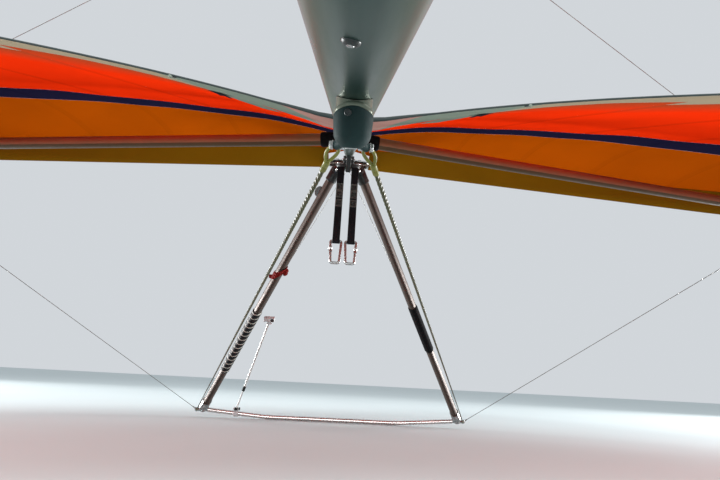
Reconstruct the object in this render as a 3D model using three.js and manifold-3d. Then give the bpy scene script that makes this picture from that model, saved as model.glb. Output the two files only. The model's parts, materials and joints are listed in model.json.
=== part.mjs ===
// A rigged hang glider of the large two-seat kind: a single-surface wing on an aluminium frame,
// a kingpost with upper wires, a triangular control frame with lower wires, two hang loops under
// the keel and a small camera pole clamped to the base bar.
//
// It stands as it is parked, on its base bar and the tail of its keel, with the nose up.
// Everything is first drawn in the glider's own frame, in millimetres: the keel's axis is Y with
// the nose at 0 and the tail at minus Y, +X is the right wing and +Z is square to the keel. The
// outer group then pitches that frame up on to the ground.

import * as THREE from "three";
import { mergeVertices } from "three/addons/utils/BufferGeometryUtils.js";
import Module from "manifold-3d";

const wasm = await Module();
wasm.setup();

// Driving dimensions, in millimetres
const GAP = 0.4; // between two pieces that touch
const KEEL = { radius: 25, front: 40, rear: -3840 };
const TAIL_CAP = { radius: 28, sleeve: 40, end: 12 };
const LEADING_EDGE = {
  sweep: Math.tan(Math.PI / 6), droop: 0.036, radius: 26, tipRadius: 23, innerX: 46,
};
const NOSE_PLATE = { thick: 3, halfWidth: 150 };
const HALF_SPAN = 5000;
const SAIL = {
  rootChord: 2450, trailingSweep: 0.254, cloth: 3, crest: 0.3, depth: 0.085, flattening: 0.000005,
  rootDip: 60, dipReach: 300,
};
// The trailing edge's height above the keel's axis, and how its tip is trimmed
const TRAILING = {
  root: 18, gain: 112, reach: 520, slope: 0.012, overKeel: 14, keelReach: 30, outboard: 2500,
  tipDrop: 190, trimX: 4600, trim: 120,
};
const POCKET = { rootDepth: 200, midDepth: 60, midX: 1700 };
// The stripe starts at a share of the chord. It moves back and widens about the middle of the wing.
const STRIPE = { starts: 0.225, width: 150, back: 0.05, wider: 90, middle: 1150, reach: 550 };
// Width of the pale hem at the trailing edge, along the span: a root patch, the first batten's
// long pocket, a narrowing length and a wider one that tapers to the tip. Where "clear" is given,
// the main panel's edge stands that far to the side of the hem's corner.
const HEM = [
  { x: 0, width: 1600 }, { x: 160, width: 1600, clear: 1 },
  { x: 297, width: 560, clear: -1 }, { x: 303, width: 1000, clear: -1 },
  { x: 377, width: 1000, clear: 1 }, { x: 383, width: 300, clear: 1 },
  { x: 460, width: 190 }, { x: 560, width: 145 }, { x: 697, width: 150, clear: -1 },
  { x: 703, width: 215, clear: -1 }, { x: HALF_SPAN, width: 120 },
];
const JUNCTION_X = 2370; // where a crossbar half meets its leading edge
const CROSSBAR = { radius: 25, y: -1600, z: 38, innerX: 57, shortOfJunction: 105 };
const APEX = { y: -1450, top: -85, halfWidth: 56, disc: 60 };
const CORNER = { x: 776, y: -1130, z: -1568 };
const BASE_BAR = { radius: 12.5, sides: 16, halfLength: 742, straight: 400, drop: 30 };
const DOWNTUBE = { chord: 64, thick: 42, socket: 50 };
const GRIPS = { leftTop: 0.53, leftEnd: 0.806, rightTop: 0.473, rightEnd: 0.66, wall: 8 };
const KINGPOST = { y: -1500, foot: 50, top: 1090, chord: 48, thick: 28 };
const REAR_WIRES_Y = -3060;
const SADDLE = { top: 13.2, waist: 12.2, bottom: 6.5, shoulder: -47, low: -54 };
const WIRE = { radius: 2, sides: 6, ball: 9 };
const HANG = { y: -1572, z: -84, block: 10, pinRadius: 6, drop: 330, width: 30, x: 30 };
const POLE = { x: -575, lean: 180, rise: 565, radius: 6.5, lowerRadius: 5, joint: 0.24 };
const CAMERA = { width: 62, depth: 32, height: 24 };

const NOSE_Z = -(KEEL.radius + GAP + NOSE_PLATE.thick + GAP + LEADING_EDGE.radius)
  + LEADING_EDGE.droop * LEADING_EDGE.innerX;

// Materials, one for each finish
const finish = (color, roughness, metalness) =>
  new THREE.MeshStandardMaterial({ color, roughness, metalness });
const MATERIALS = {
  aluminium: finish(0xb4b4ac, 0.3, 0.9),
  steel: finish(0x9b9c9c, 0.35, 0.9),
  wire: finish(0x8d8f78, 0.5, 0.4),
  blackPlastic: finish(0x10181a, 0.5, 0),
  foam: finish(0x0c0c0e, 0.9, 0),
  webbing: finish(0x0e0e12, 0.85, 0),
  redCloth: finish(0xe63208, 0.6, 0),
  orangeCloth: finish(0xc85a12, 0.6, 0),
  navyCloth: finish(0x1c2548, 0.6, 0),
  creamCloth: finish(0xc8c4a4, 0.6, 0),
  yellowCloth: finish(0xb88310, 0.6, 0),
  darkCloth: finish(0x26262c, 0.8, 0),
};

// Closed solids: a shape made ready to join or cut, and the result turned back into a shape
function asSolid(geometry) {
  const bare = geometry.clone();
  for (const name of Object.keys(bare.attributes)) {
    if (name !== "position") bare.deleteAttribute(name);
  }
  const merged = mergeVertices(bare, 1e-3);
  const vertProperties = merged.attributes.position.array;
  const triVerts = new Uint32Array(merged.index.array);
  return new wasm.Manifold(new wasm.Mesh({ numProp: 3, vertProperties, triVerts }));
}

function asGeometry(solid) {
  const mesh = solid.getMesh();
  const geometry = new THREE.BufferGeometry();
  geometry.setAttribute("position", new THREE.BufferAttribute(mesh.vertProperties, 3));
  geometry.setIndex(new THREE.BufferAttribute(mesh.triVerts, 1));
  return geometry;
}

const join = (...parts) => asGeometry(parts.map(asSolid).reduce((a, b) => a.add(b)));
const cut = (part, ...tools) =>
  asGeometry(tools.map(asSolid).reduce((a, b) => a.subtract(b), asSolid(part)));

// Simple shapes in the glider's frame
const vec = (x, y, z) => new THREE.Vector3(x, y, z);
const box = (low, high) =>
  new THREE.BoxGeometry(high[0] - low[0], high[1] - low[1], high[2] - low[2]).translate(
    (low[0] + high[0]) / 2,
    (low[1] + high[1]) / 2,
    (low[2] + high[2]) / 2,
  );
const ball = (centre, radius) =>
  new THREE.SphereGeometry(radius, 12, 8).translate(centre.x, centre.y, centre.z);

// A matrix whose Z axis runs from start towards end and whose Y axis lies nearest to "up".
function frameAlong(start, end, up) {
  const z = end.clone().sub(start).normalize();
  const y = up.clone().addScaledVector(z, -up.dot(z)).normalize();
  const x = y.clone().cross(z);
  return new THREE.Matrix4().makeBasis(x, y, z).setPosition(start);
}

function rod(start, end, radius, sides = 16, endRadius = radius) {
  const length = start.distanceTo(end);
  const up = Math.abs(end.x - start.x) > 0.9 * length ? vec(0, 0, 1) : vec(1, 0, 0);
  return new THREE.CylinderGeometry(endRadius, radius, length, sides)
    .rotateX(Math.PI / 2)
    .translate(0, 0, length / 2)
    .applyMatrix4(frameAlong(start, end, up));
}

// A prism of an elliptical section, hollow where a bore is given, along a line.
function ellipseBar(start, end, thick, chord, bore = null) {
  const shape = new THREE.Shape();
  shape.absellipse(0, 0, thick / 2, chord / 2, 0, 2 * Math.PI);
  if (bore) {
    const hole = new THREE.Path();
    hole.absellipse(0, 0, bore.thick / 2, bore.chord / 2, 0, 2 * Math.PI);
    shape.holes.push(hole);
  }
  const depth = start.distanceTo(end);
  return new THREE.ExtrudeGeometry(shape, { depth, bevelEnabled: false, curveSegments: 20 })
    .applyMatrix4(frameAlong(start, end, vec(0, 1, 0)));
}

// A flat plate of a given outline in plan, between two heights.
function plate(outline, low, high) {
  const shape = new THREE.Shape(outline.map(([x, y]) => new THREE.Vector2(x, y)));
  return new THREE.ExtrudeGeometry(shape, { depth: high - low, bevelEnabled: false })
    .translate(0, 0, low);
}

// A closed shell of even thickness under a grid of points, rows along the span.
function shell(rows, thickness) {
  const [m, n] = [rows.length, rows[0].length];
  const at = (i, j) => rows[Math.min(Math.max(i, 0), m - 1)][Math.min(Math.max(j, 0), n - 1)];
  const outer = [];
  const inner = [];
  for (let i = 0; i < m; i++) {
    for (let j = 0; j < n; j++) {
      const across = at(i + 1, j).clone().sub(at(i - 1, j));
      const along = at(i, j + 1).clone().sub(at(i, j - 1));
      const normal = along.cross(across).normalize();
      outer.push(at(i, j));
      inner.push(at(i, j).clone().addScaledVector(normal, -thickness));
    }
  }
  const index = [];
  const quad = (a, b, c, d) => index.push(a, b, c, a, c, d);
  const under = m * n;
  for (let i = 0; i < m - 1; i++) {
    for (let j = 0; j < n - 1; j++) {
      const [a, b, c, d] = [i * n + j, i * n + j + 1, (i + 1) * n + j + 1, (i + 1) * n + j];
      quad(a, b, c, d);
      quad(under + d, under + c, under + b, under + a);
    }
  }
  for (let i = 0; i < m - 1; i++) {
    const [front, nextFront] = [i * n, (i + 1) * n];
    const [back, nextBack] = [front + n - 1, nextFront + n - 1];
    quad(nextFront, under + nextFront, under + front, front);
    quad(back, under + back, under + nextBack, nextBack);
  }
  for (let j = 0; j < n - 1; j++) {
    const far = (m - 1) * n + j;
    quad(j, under + j, under + j + 1, j + 1);
    quad(far + 1, under + far + 1, under + far, far);
  }
  const points = [...outer, ...inner];
  const geometry = new THREE.BufferGeometry().setFromPoints(points);
  geometry.setIndex(index);
  return geometry;
}

// A closed ring of round section along a flat loop of points whose normal is given.
function ring(loop, normal, radius, sides = 8) {
  const positions = [];
  const count = loop.length;
  loop.forEach((point, i) => {
    const ahead = loop[(i + 1) % count].clone().sub(loop[(i + count - 1) % count]).normalize();
    const side = ahead.clone().cross(normal).normalize();
    for (let k = 0; k < sides; k++) {
      const angle = (2 * Math.PI * k) / sides;
      const p = point.clone().addScaledVector(side, radius * Math.cos(angle));
      positions.push(p.addScaledVector(normal, radius * Math.sin(angle)));
    }
  });
  const index = [];
  for (let i = 0; i < count; i++) {
    for (let k = 0; k < sides; k++) {
      const [a, b] = [i * sides + k, i * sides + ((k + 1) % sides)];
      const next = ((i + 1) % count) * sides;
      const [c, d] = [next + k, next + ((k + 1) % sides)];
      index.push(a, d, b, a, c, d);
    }
  }
  const geometry = new THREE.BufferGeometry().setFromPoints(positions);
  geometry.setIndex(index);
  return geometry;
}

function mirrored(geometry) {
  const copy = geometry.index ? geometry.toNonIndexed() : geometry.clone();
  copy.scale(-1, 1, 1);
  const p = copy.attributes.position;
  for (let i = 0; i < p.count; i += 3) {
    const [a, b] = [vec().fromBufferAttribute(p, i + 1), vec().fromBufferAttribute(p, i + 2)];
    p.setXYZ(i + 1, b.x, b.y, b.z);
    p.setXYZ(i + 2, a.x, a.y, a.z);
  }
  return copy;
}

// The wing's shape: its leading edge, trailing edge and section at a distance x from the keel
const leadingEdgeAt = (x) =>
  vec(x, -LEADING_EDGE.sweep * x, NOSE_Z - LEADING_EDGE.droop * x);

function trailingEdgeAt(x) {
  const T = TRAILING;
  const tip = Math.max(0, (x - T.trimX) / (HALF_SPAN - T.trimX));
  const outboard = Math.max(0, (x - T.outboard) / (HALF_SPAN - T.outboard));
  const y = -SAIL.rootChord - SAIL.trailingSweep * x + T.trim * tip * tip;
  const rise = T.root + T.gain * (1 - Math.exp(-x / T.reach)) + T.slope * x;
  const overKeel = T.overKeel * Math.exp(-((x / T.keelReach) ** 2));
  return vec(x, y, rise + overKeel - T.tipDrop * outboard * outboard);
}

// The cloth's outside runs round the leading edge tube on an ellipse. Below the tube it hangs
// deeper towards the middle of each wing.
const WRAP = {
  y: 36, above: 32, below: 34, deepening: 0.012, deepestX: 2000, leaves: (58 * Math.PI) / 180,
};
const wrapBelow = (x) => WRAP.below + WRAP.deepening * Math.min(x, WRAP.deepestX);
const wrapPoint = (x, angle) => {
  const axis = leadingEdgeAt(x);
  const height = angle > 0 ? WRAP.above : wrapBelow(x);
  return vec(x, axis.y + WRAP.y * Math.cos(angle), axis.z + height * Math.sin(angle));
};

function camber(share) {
  const ahead = Math.max(0, SAIL.crest - share) / SAIL.crest;
  const behind = Math.max(0, share - SAIL.crest) / (1 - SAIL.crest);
  return 1 - ahead ** 2.2 - behind ** 1.08;
}

// The crest is lower at the keel, where the cloth is held down.
function upperPoint(x, share) {
  const start = wrapPoint(x, WRAP.leaves);
  const end = trailingEdgeAt(x);
  const dip = SAIL.rootDip * Math.exp(-((x / SAIL.dipReach) ** 2));
  const depth = (SAIL.depth - SAIL.flattening * x) * (start.y - end.y) - dip;
  return start.clone().lerp(end, share).add(vec(0, 0, depth * camber(share)));
}

const SPAN_STATIONS = [
  0.4, 24, 60, 160, 297, 303, 377, 383, 460, 560, 697, 703, 900, 1200, 1600, 2100, 2700, 3400,
  4000, 4500, 4800, HALF_SPAN,
];
const chordAt = (x) => wrapPoint(x, WRAP.leaves).y - trailingEdgeAt(x).y;
const pocketSeamAt = (x) => {
  const along = Math.min(1, x / POCKET.midX);
  return (POCKET.rootDepth + (POCKET.midDepth - POCKET.rootDepth) * along) / chordAt(x);
};

// The upper cloth's panels, front to rear. Each runs between two shares of the chord.
const seamAt = (x) => (2 * GAP) / chordAt(x);
const stripeSwell = (x) => Math.exp(-(((x - STRIPE.middle) / STRIPE.reach) ** 2));
const stripeStarts = (x) => STRIPE.starts + STRIPE.back * stripeSwell(x);
const stripeEnds = (x) =>
  stripeStarts(x) + (STRIPE.width + STRIPE.wider * stripeSwell(x)) / chordAt(x);
function hemWidth(x) {
  const next = Math.max(1, HEM.findIndex((knot) => knot.x >= x));
  const [from, to] = [HEM[next - 1], HEM[next]];
  return from.width + ((to.width - from.width) * (x - from.x)) / (to.x - from.x);
}
const hemStarts = (x) => 1 - hemWidth(x) / chordAt(x);
const PANELS = [
  { name: "sail_front", from: () => 0, to: stripeStarts, cells: 0, material: "orangeCloth" },
  { name: "sail_stripe", from: stripeStarts, to: stripeEnds, cells: 2, material: "navyCloth" },
  { name: "sail_main", from: stripeEnds, to: hemStarts, cells: 6, material: "redCloth" },
  { name: "sail_hem", from: hemStarts, to: () => 1, cells: 4, material: "creamCloth" },
];
// The main panel ends at the widest part of the hem that is near.
function panelSection(panel, station) {
  const isMain = panel.name === "sail_main";
  const x = station + (isMain ? HEM.find((knot) => knot.x === station)?.clear ?? 0 : 0);
  const widest = Math.max(...[x - 1, x, station].map(hemWidth));
  const ends = isMain ? 1 - widest / chordAt(x) : panel.to(x);
  if (panel.cells === 0) {
    const fold = pocketSeamAt(x);
    const end = ends - seamAt(x);
    const flat = [0.35, 0.7, 1].map((part) => fold + part * (end - fold));
    return [
      ...[0.03, 0.5].map((angle) => wrapPoint(x, angle)),
      ...[0, 0.5 * fold, fold, ...flat].map((share) => upperPoint(x, share)),
    ];
  }
  const points = [];
  for (let i = 0; i <= panel.cells; i++) {
    const [from, to] = [panel.from(x), ends - seamAt(x)];
    points.push(upperPoint(x, from + ((to - from) * i) / panel.cells));
  }
  return points;
}

// The pocket's lower cloth goes round below the tube and leaves it on the tangent that reaches the
// seam on the upper cloth.
function pocketSection(x) {
  const axis = leadingEdgeAt(x);
  const rear = upperPoint(x, pocketSeamAt(x)).add(vec(0, 0, -SAIL.cloth - 0.4));
  const [y, z] = [(rear.y - axis.y) / WRAP.y, (rear.z - axis.z) / wrapBelow(x)];
  const leaves = Math.atan2(z, y) + Math.acos(1 / Math.hypot(y, z)) - 2 * Math.PI;
  const round = [0, 0.2, 0.4, 0.6, 0.8, 1]
    .map((part) => wrapPoint(x, -0.03 + part * (leaves + 0.03)));
  const rising = [0.5, 1].map((part) => round[5].clone().lerp(rear, part));
  return [...round, ...rising].reverse();
}

const glider = new THREE.Group();
function add(name, geometry, material) {
  const mesh = new THREE.Mesh(geometry, MATERIALS[material]);
  mesh.name = name;
  glider.add(mesh);
}
function addPair(name, geometry, material) {
  add(name + "_right", geometry, material);
  add(name + "_left", mirrored(geometry), material);
}

// Keel, its tail cap and the lugs of the two upper wires that end on it
const noseLug = vec(0, 10, KEEL.radius + 14);
const tailLug = vec(0, REAR_WIRES_Y, KEEL.radius + 14);
const lug = (centre) =>
  join(ball(centre, WIRE.ball), rod(vec(0, centre.y, KEEL.radius - 6), centre, 5, 8));
const keelTube = rod(vec(0, KEEL.rear, 0), vec(0, KEEL.front, 0), KEEL.radius, 24);
add("keel_tube", join(keelTube, lug(noseLug), lug(tailLug)), "aluminium");

const capEnd = KEEL.rear - TAIL_CAP.end;
const capProfile = [
  [0, capEnd],
  [TAIL_CAP.radius - 3, capEnd],
  [TAIL_CAP.radius, capEnd + 3],
  [TAIL_CAP.radius, KEEL.rear + TAIL_CAP.sleeve],
  [KEEL.radius + GAP, KEEL.rear + TAIL_CAP.sleeve],
  [KEEL.radius + GAP, KEEL.rear - GAP],
  [0, KEEL.rear - GAP],
].map(([r, y]) => new THREE.Vector2(r, y));
add("keel_tail_cap", new THREE.LatheGeometry(capProfile, 24), "blackPlastic");

// Nose plates, above and below the leading edge tubes, with the bolts that join them
const plateEdge = NOSE_PLATE.halfWidth;
const plateHalf = [[45, 30], [plateEdge, -75], [plateEdge - 30, -150]];
const plateOutline = [...plateHalf, ...plateHalf.toReversed().map(([x, y]) => [-x, y])];
const upperPlateTop = -(KEEL.radius + GAP);
const lowerPlateTop = leadingEdgeAt(NOSE_PLATE.halfWidth).z - LEADING_EDGE.radius - GAP;
const frontLug = vec(0, -60, lowerPlateTop - NOSE_PLATE.thick - 8);
const noseBolts = [12, -60, -125].map((y) =>
  rod(vec(0, y, upperPlateTop - 1), vec(0, y, lowerPlateTop - NOSE_PLATE.thick - 5), 6, 8));
add("nose_plates", join(
  plate(plateOutline, upperPlateTop - NOSE_PLATE.thick, upperPlateTop),
  plate(plateOutline, lowerPlateTop - NOSE_PLATE.thick, lowerPlateTop),
  ...noseBolts,
  rod(vec(0, frontLug.y, lowerPlateTop - 1), frontLug, WIRE.ball + 1, 12),
  ball(frontLug, WIRE.ball),
), "steel");

// Leading edge tubes, thinner outboard, each with its end plug
const tubeStart = leadingEdgeAt(LEADING_EDGE.innerX);
const tubeStep = leadingEdgeAt(3300);
const tubeEnd = leadingEdgeAt(HALF_SPAN - 30);
addPair("leading_edge_tube", join(
  rod(tubeStart, tubeStep, LEADING_EDGE.radius, 16),
  rod(leadingEdgeAt(3200), tubeEnd, LEADING_EDGE.tipRadius, 16),
), "aluminium");
addPair("leading_edge_end_plug", rod(
  leadingEdgeAt(HALF_SPAN - 29.5), leadingEdgeAt(HALF_SPAN + 5), 25, 16, 21), "blackPlastic");

// Crossbar halves, from beside the keel to their brackets on the leading edges
const junction = leadingEdgeAt(JUNCTION_X);
const crossbarLine = [vec(0, CROSSBAR.y, CROSSBAR.z + 3.5), junction.clone().add(vec(0, 0, -9.5))];
const crossbarAt = (x) => crossbarLine[0].clone().lerp(crossbarLine[1], x / JUNCTION_X);
const crossbarInner = crossbarAt(CROSSBAR.innerX);
const crossbarOuter = crossbarAt(JUNCTION_X - CROSSBAR.shortOfJunction);
addPair("crossbar", rod(crossbarInner, crossbarOuter, CROSSBAR.radius, 16), "aluminium");

const PAD = { bore: 25.6, radius: 31, length: 60, startX: 62 };
const padProfile = [
  [PAD.bore, 0], [PAD.radius - 1.5, 0], [PAD.radius, 8],
  [PAD.radius, PAD.length - 8], [PAD.radius - 1.5, PAD.length], [PAD.bore, PAD.length],
].map(([r, z]) => new THREE.Vector2(r, z));
padProfile.push(padProfile[0].clone());
const padPlace = frameAlong(crossbarAt(PAD.startX), crossbarOuter, vec(0, 0, 1));
addPair("crossbar_pad", new THREE.LatheGeometry(padProfile, 16)
  .rotateX(Math.PI / 2).applyMatrix4(padPlace), "foam");

// The two halves hang from a strap over the keel.
const strapLow = CROSSBAR.z + CROSSBAR.radius + 4.5;
const strapFoot = crossbarInner.z - CROSSBAR.radius + 2;
add("crossbar_centre_strap", join(
  box([-60, CROSSBAR.y - 20, strapLow], [60, CROSSBAR.y + 20, strapLow + 5]),
  box([-14, CROSSBAR.y - 20, KEEL.radius + GAP], [14, CROSSBAR.y + 20, strapLow + 2]),
  box([34, CROSSBAR.y - 20, strapFoot], [CROSSBAR.innerX - 3.2, CROSSBAR.y + 20, strapLow + 2]),
  box([3.2 - CROSSBAR.innerX, CROSSBAR.y - 20, strapFoot], [-34, CROSSBAR.y + 20, strapLow + 2]),
), "steel");

// Crossbar brackets: two plates, the bolt between them, and a lug above and below for the wires
const bracketOutline = [[45, -29], [-70, 37], [-165, 37], [-165, -42], [10, -62]]
  .map(([x, y]) => [junction.x + x, junction.y + y]);
const bracketBolt = vec(junction.x - 85, junction.y - 10, 0);
const upperSideLug = bracketBolt.clone().setZ(junction.z + 99);
const lowerSideLug = vec(junction.x - 60, junction.y - 10, junction.z - 40);
addPair("crossbar_bracket", join(
  plate(bracketOutline, junction.z + 28.9, junction.z + 33),
  plate(bracketOutline, junction.z - 32.6, junction.z - 27.9),
  rod(bracketBolt.clone().setZ(junction.z - 36), upperSideLug, 6, 8),
  ball(upperSideLug, WIRE.ball),
  ball(lowerSideLug, WIRE.ball),
), "steel");

// Sail: the panels of each wing, cut away at the nose, the kingpost and the upper wires' lugs
const centreCut = box([-9, -3000, -300], [0.3, 100, 400]);
const noseCut = box([-9, -165, -300], [156, 100, 300]);
const kingpostCut = box([-9, KINGPOST.y - 60, 0], [36, KINGPOST.y + 60, 400]);
const lugCut = rod(bracketBolt.clone().setZ(-300), bracketBolt.clone().setZ(200), 12, 12);
const panelShell = (panel) =>
  shell(SPAN_STATIONS.map((x) => panelSection(panel, x)), SAIL.cloth);
for (const panel of PANELS) {
  const cloth = cut(panelShell(panel), centreCut, noseCut, kingpostCut, lugCut);
  addPair(panel.name, cloth, panel.material);
}

// Leading edge pockets: the lower cloth, cut away where the crossbar and its bracket come in
const lowerCloth = shell([158, ...SPAN_STATIONS.slice(4)].map(pocketSection), SAIL.cloth);
const crossbarCut = plate([[75, -34], [-90, 61], [-270, 75], [-270, -200], [75, -200]]
  .map(([x, y]) => [junction.x + x, junction.y + y]), -400, 200);
const frontCloth = panelShell(PANELS[0]);
const seamCut = frontCloth.clone().translate(0, 0, -GAP);
addPair("leading_edge_pocket",
  cut(lowerCloth, crossbarCut, seamCut, frontCloth), "yellowCloth");

// Keel pocket: the cloth sleeve between the keel and the sail, behind the crossbar
const sleeveHalf = 14;
const pocketTop = [0.705, 0.78, 0.85, 0.92, 0.97]
  .map((share) => [upperPoint(0, share), upperPoint(sleeveHalf, share)])
  .map(([centre, side]) => [centre.y, Math.min(centre.z, side.z) - SAIL.cloth - 1]);
const sleeveShape = new THREE.Shape(
  [[pocketTop[0][0], KEEL.radius + GAP], ...pocketTop, [pocketTop[4][0], KEEL.radius + GAP]]
    .map(([y, z]) => new THREE.Vector2(y, z)));
add("keel_pocket", new THREE.ExtrudeGeometry(sleeveShape, { depth: 2 * sleeveHalf, bevelEnabled: false })
  .applyMatrix4(new THREE.Matrix4().makeBasis(vec(0, 1, 0), vec(0, 0, 1), vec(1, 0, 0)))
  .translate(-sleeveHalf, 0, 0), "darkCloth");

// Kingpost with its foot and the lug that takes the four upper wires
const footTop = KINGPOST.foot;
add("kingpost_foot", join(
  box([-20, KINGPOST.y - 34, KEEL.radius + GAP], [20, KINGPOST.y + 34, footTop - 8]),
  box([-13, KINGPOST.y - 22, footTop - 10], [13, KINGPOST.y + 22, footTop - GAP]),
), "steel");
const crownLug = vec(0, KINGPOST.y, KINGPOST.top + 31);
add("kingpost", join(
  ellipseBar(vec(0, KINGPOST.y, footTop), vec(0, KINGPOST.y, KINGPOST.top), KINGPOST.thick,
    KINGPOST.chord),
  rod(vec(0, KINGPOST.y, KINGPOST.top - 5), crownLug, 5, 8),
  ball(crownLug, WIRE.ball + 1),
), "aluminium");

// Control frame: apex bracket with a socket for each downtube
const tubeTop = vec(APEX.halfWidth, APEX.y, APEX.top - 12);
const tubeBottom = vec(CORNER.x - 12, CORNER.y, CORNER.z + 24);
const alongTube = (distance) => {
  const length = tubeTop.distanceTo(tubeBottom);
  return tubeTop.clone().lerp(tubeBottom, distance / length);
};
const TUBE_LENGTH = tubeTop.distanceTo(tubeBottom);
const socketBore = { thick: DOWNTUBE.thick + 2 * GAP, chord: DOWNTUBE.chord + 2 * GAP };
const sleeve = (from, to, wall) =>
  ellipseBar(alongTube(from), alongTube(to), DOWNTUBE.thick + wall, DOWNTUBE.chord + wall,
    socketBore);
const upperSocket = join(
  sleeve(-1, DOWNTUBE.socket, 9),
  ellipseBar(alongTube(-14), alongTube(-GAP), DOWNTUBE.thick + 9, DOWNTUBE.chord + 9),
);
add("apex_bracket", join(
  box([-24, APEX.y - 60, -60], [24, APEX.y + 60, -(KEEL.radius + GAP)]),
  rod(vec(0, APEX.y, APEX.top), vec(0, APEX.y, -52), APEX.disc, 24),
  upperSocket,
  mirrored(upperSocket),
), "steel");

addPair("downtube",
  ellipseBar(tubeTop, tubeBottom, DOWNTUBE.thick, DOWNTUBE.chord), "aluminium");
add("downtube_grip_left",
  mirrored(sleeve(GRIPS.leftTop * TUBE_LENGTH, GRIPS.leftEnd * TUBE_LENGTH, GRIPS.wall)), "foam");
add("downtube_grip_right",
  sleeve(GRIPS.rightTop * TUBE_LENGTH, GRIPS.rightEnd * TUBE_LENGTH, GRIPS.wall), "foam");

// Base bar: a straight middle, a little lower than its ends, with a flat turned to the ground
const barMiddle = vec(0, CORNER.y, CORNER.z - BASE_BAR.drop);
const contactRadius = BASE_BAR.radius * Math.cos(Math.PI / BASE_BAR.sides);
const tailContact = vec(0, capEnd + 3, -TAIL_CAP.radius);
const fromTail = barMiddle.clone().sub(tailContact);
const PITCH = Math.atan2(-fromTail.z, fromTail.y) + Math.asin(contactRadius / fromTail.length());
const barStraight = new THREE.CylinderGeometry(
  BASE_BAR.radius, BASE_BAR.radius, 2 * BASE_BAR.straight, BASE_BAR.sides)
  .rotateZ(Math.PI / 2)
  .rotateX(Math.PI / BASE_BAR.sides - PITCH)
  .translate(0, barMiddle.y, barMiddle.z);
const barBend = vec(BASE_BAR.straight, barMiddle.y, barMiddle.z);
const barTip = vec(BASE_BAR.halfLength, CORNER.y, CORNER.z);
const barOuter = rod(barBend, barTip, BASE_BAR.radius, BASE_BAR.sides);
const barElbow = ball(barBend, contactRadius - 0.1);
add("base_bar", join(
  barStraight, barOuter, mirrored(barOuter), barElbow, mirrored(barElbow)), "aluminium");

const cornerLug = vec(CORNER.x + 34, CORNER.y, CORNER.z);
addPair("corner_fitting", join(
  rod(vec(BASE_BAR.halfLength + 1.6, CORNER.y, CORNER.z), cornerLug, 9.5, 12),
  ball(cornerLug, WIRE.ball + 3),
  sleeve(TUBE_LENGTH - DOWNTUBE.socket, TUBE_LENGTH + 1, 9),
  ellipseBar(alongTube(TUBE_LENGTH + GAP), alongTube(TUBE_LENGTH + 14), DOWNTUBE.thick + 9,
    DOWNTUBE.chord + 9),
), "steel");

// Rear wires' saddle: a moulded cup under the keel, with a cross bolt and a lug on each side
const rearLug = vec(11, REAR_WIRES_Y + 20, -52);
const rearSide = join(
  rod(vec(0, REAR_WIRES_Y + 4, SADDLE.shoulder), rearLug, 3.5, 8),
  ball(rearLug, 5),
);
const saddleProfile = [
  [0, SADDLE.low], [SADDLE.bottom, SADDLE.low], [SADDLE.waist, SADDLE.shoulder],
  [SADDLE.top, -36], [SADDLE.top, -14], [0, -14],
].map(([r, z]) => new THREE.Vector2(r, z));
const saddleCup = new THREE.LatheGeometry(saddleProfile, 24)
  .rotateX(Math.PI / 2).translate(0, REAR_WIRES_Y, 0);
const keelSeat = rod(
  vec(0, REAR_WIRES_Y - 60, 0), vec(0, REAR_WIRES_Y + 60, 0), KEEL.radius + GAP, 24);
add("rear_wire_saddle", cut(join(saddleCup, rearSide, mirrored(rearSide)), keelSeat),
  "blackPlastic");

// Wires: each runs between the surfaces of two lugs
function wire(from, fromBall, to, toBall) {
  const way = to.clone().sub(from).normalize();
  const clear = 0.5;
  const start = from.clone().addScaledVector(way, fromBall + clear);
  return rod(start, to.clone().addScaledVector(way, -toBall - clear), WIRE.radius, WIRE.sides);
}
const cornerBall = WIRE.ball + 3;
addPair("front_wire", wire(cornerLug, cornerBall, frontLug, WIRE.ball), "wire");
addPair("rear_wire", wire(cornerLug, cornerBall, rearLug, 5), "wire");
addPair("lower_side_wire", wire(cornerLug, cornerBall, lowerSideLug, WIRE.ball), "wire");
addPair("upper_side_wire", wire(crownLug, WIRE.ball + 1, upperSideLug, WIRE.ball), "wire");
add("upper_front_wire", wire(crownLug, WIRE.ball + 1, noseLug, WIRE.ball), "wire");
add("upper_rear_wire", wire(crownLug, WIRE.ball + 1, tailLug, WIRE.ball), "wire");

// Hang bracket: a block under the keel with a cross pin and its two end discs
const pinEnd = HANG.x + HANG.width / 2 + 3;
const pinRod = (from, to, radius) =>
  rod(vec(from, HANG.y, HANG.z), vec(to, HANG.y, HANG.z), radius, 12);
add("hang_bracket", join(
  box([-HANG.block, HANG.y - 26, HANG.z - 12], [HANG.block, HANG.y + 26, -(KEEL.radius + GAP)]),
  pinRod(-pinEnd, pinEnd, HANG.pinRadius),
  pinRod(pinEnd - 1, pinEnd + 4, 12),
  pinRod(-pinEnd - 4, 1 - pinEnd, 12),
), "steel");

// Hang loops: a band of webbing round the pin and round the top bar of a carabiner. They hang
// plumb, so they are drawn in a frame that undoes the pitch, with the pin at its origin.
const BAND = { inner: 7, outer: 11 };
function stadium(shape, radius, drop) {
  shape.absarc(0, 0, radius, 0, Math.PI);
  shape.absarc(0, -drop, radius, Math.PI, 2 * Math.PI);
  shape.closePath();
  return shape;
}
const bandShape = stadium(new THREE.Shape(), BAND.outer, HANG.drop);
bandShape.holes.push(stadium(new THREE.Path(), BAND.inner, HANG.drop));
const band = new THREE.ExtrudeGeometry(bandShape,
  { depth: HANG.width, bevelEnabled: false, curveSegments: 8 })
  .applyMatrix4(new THREE.Matrix4().makeBasis(vec(0, 1, 0), vec(0, 0, 1), vec(1, 0, 0)))
  .translate(HANG.x - HANG.width / 2, 0, 0);

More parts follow.
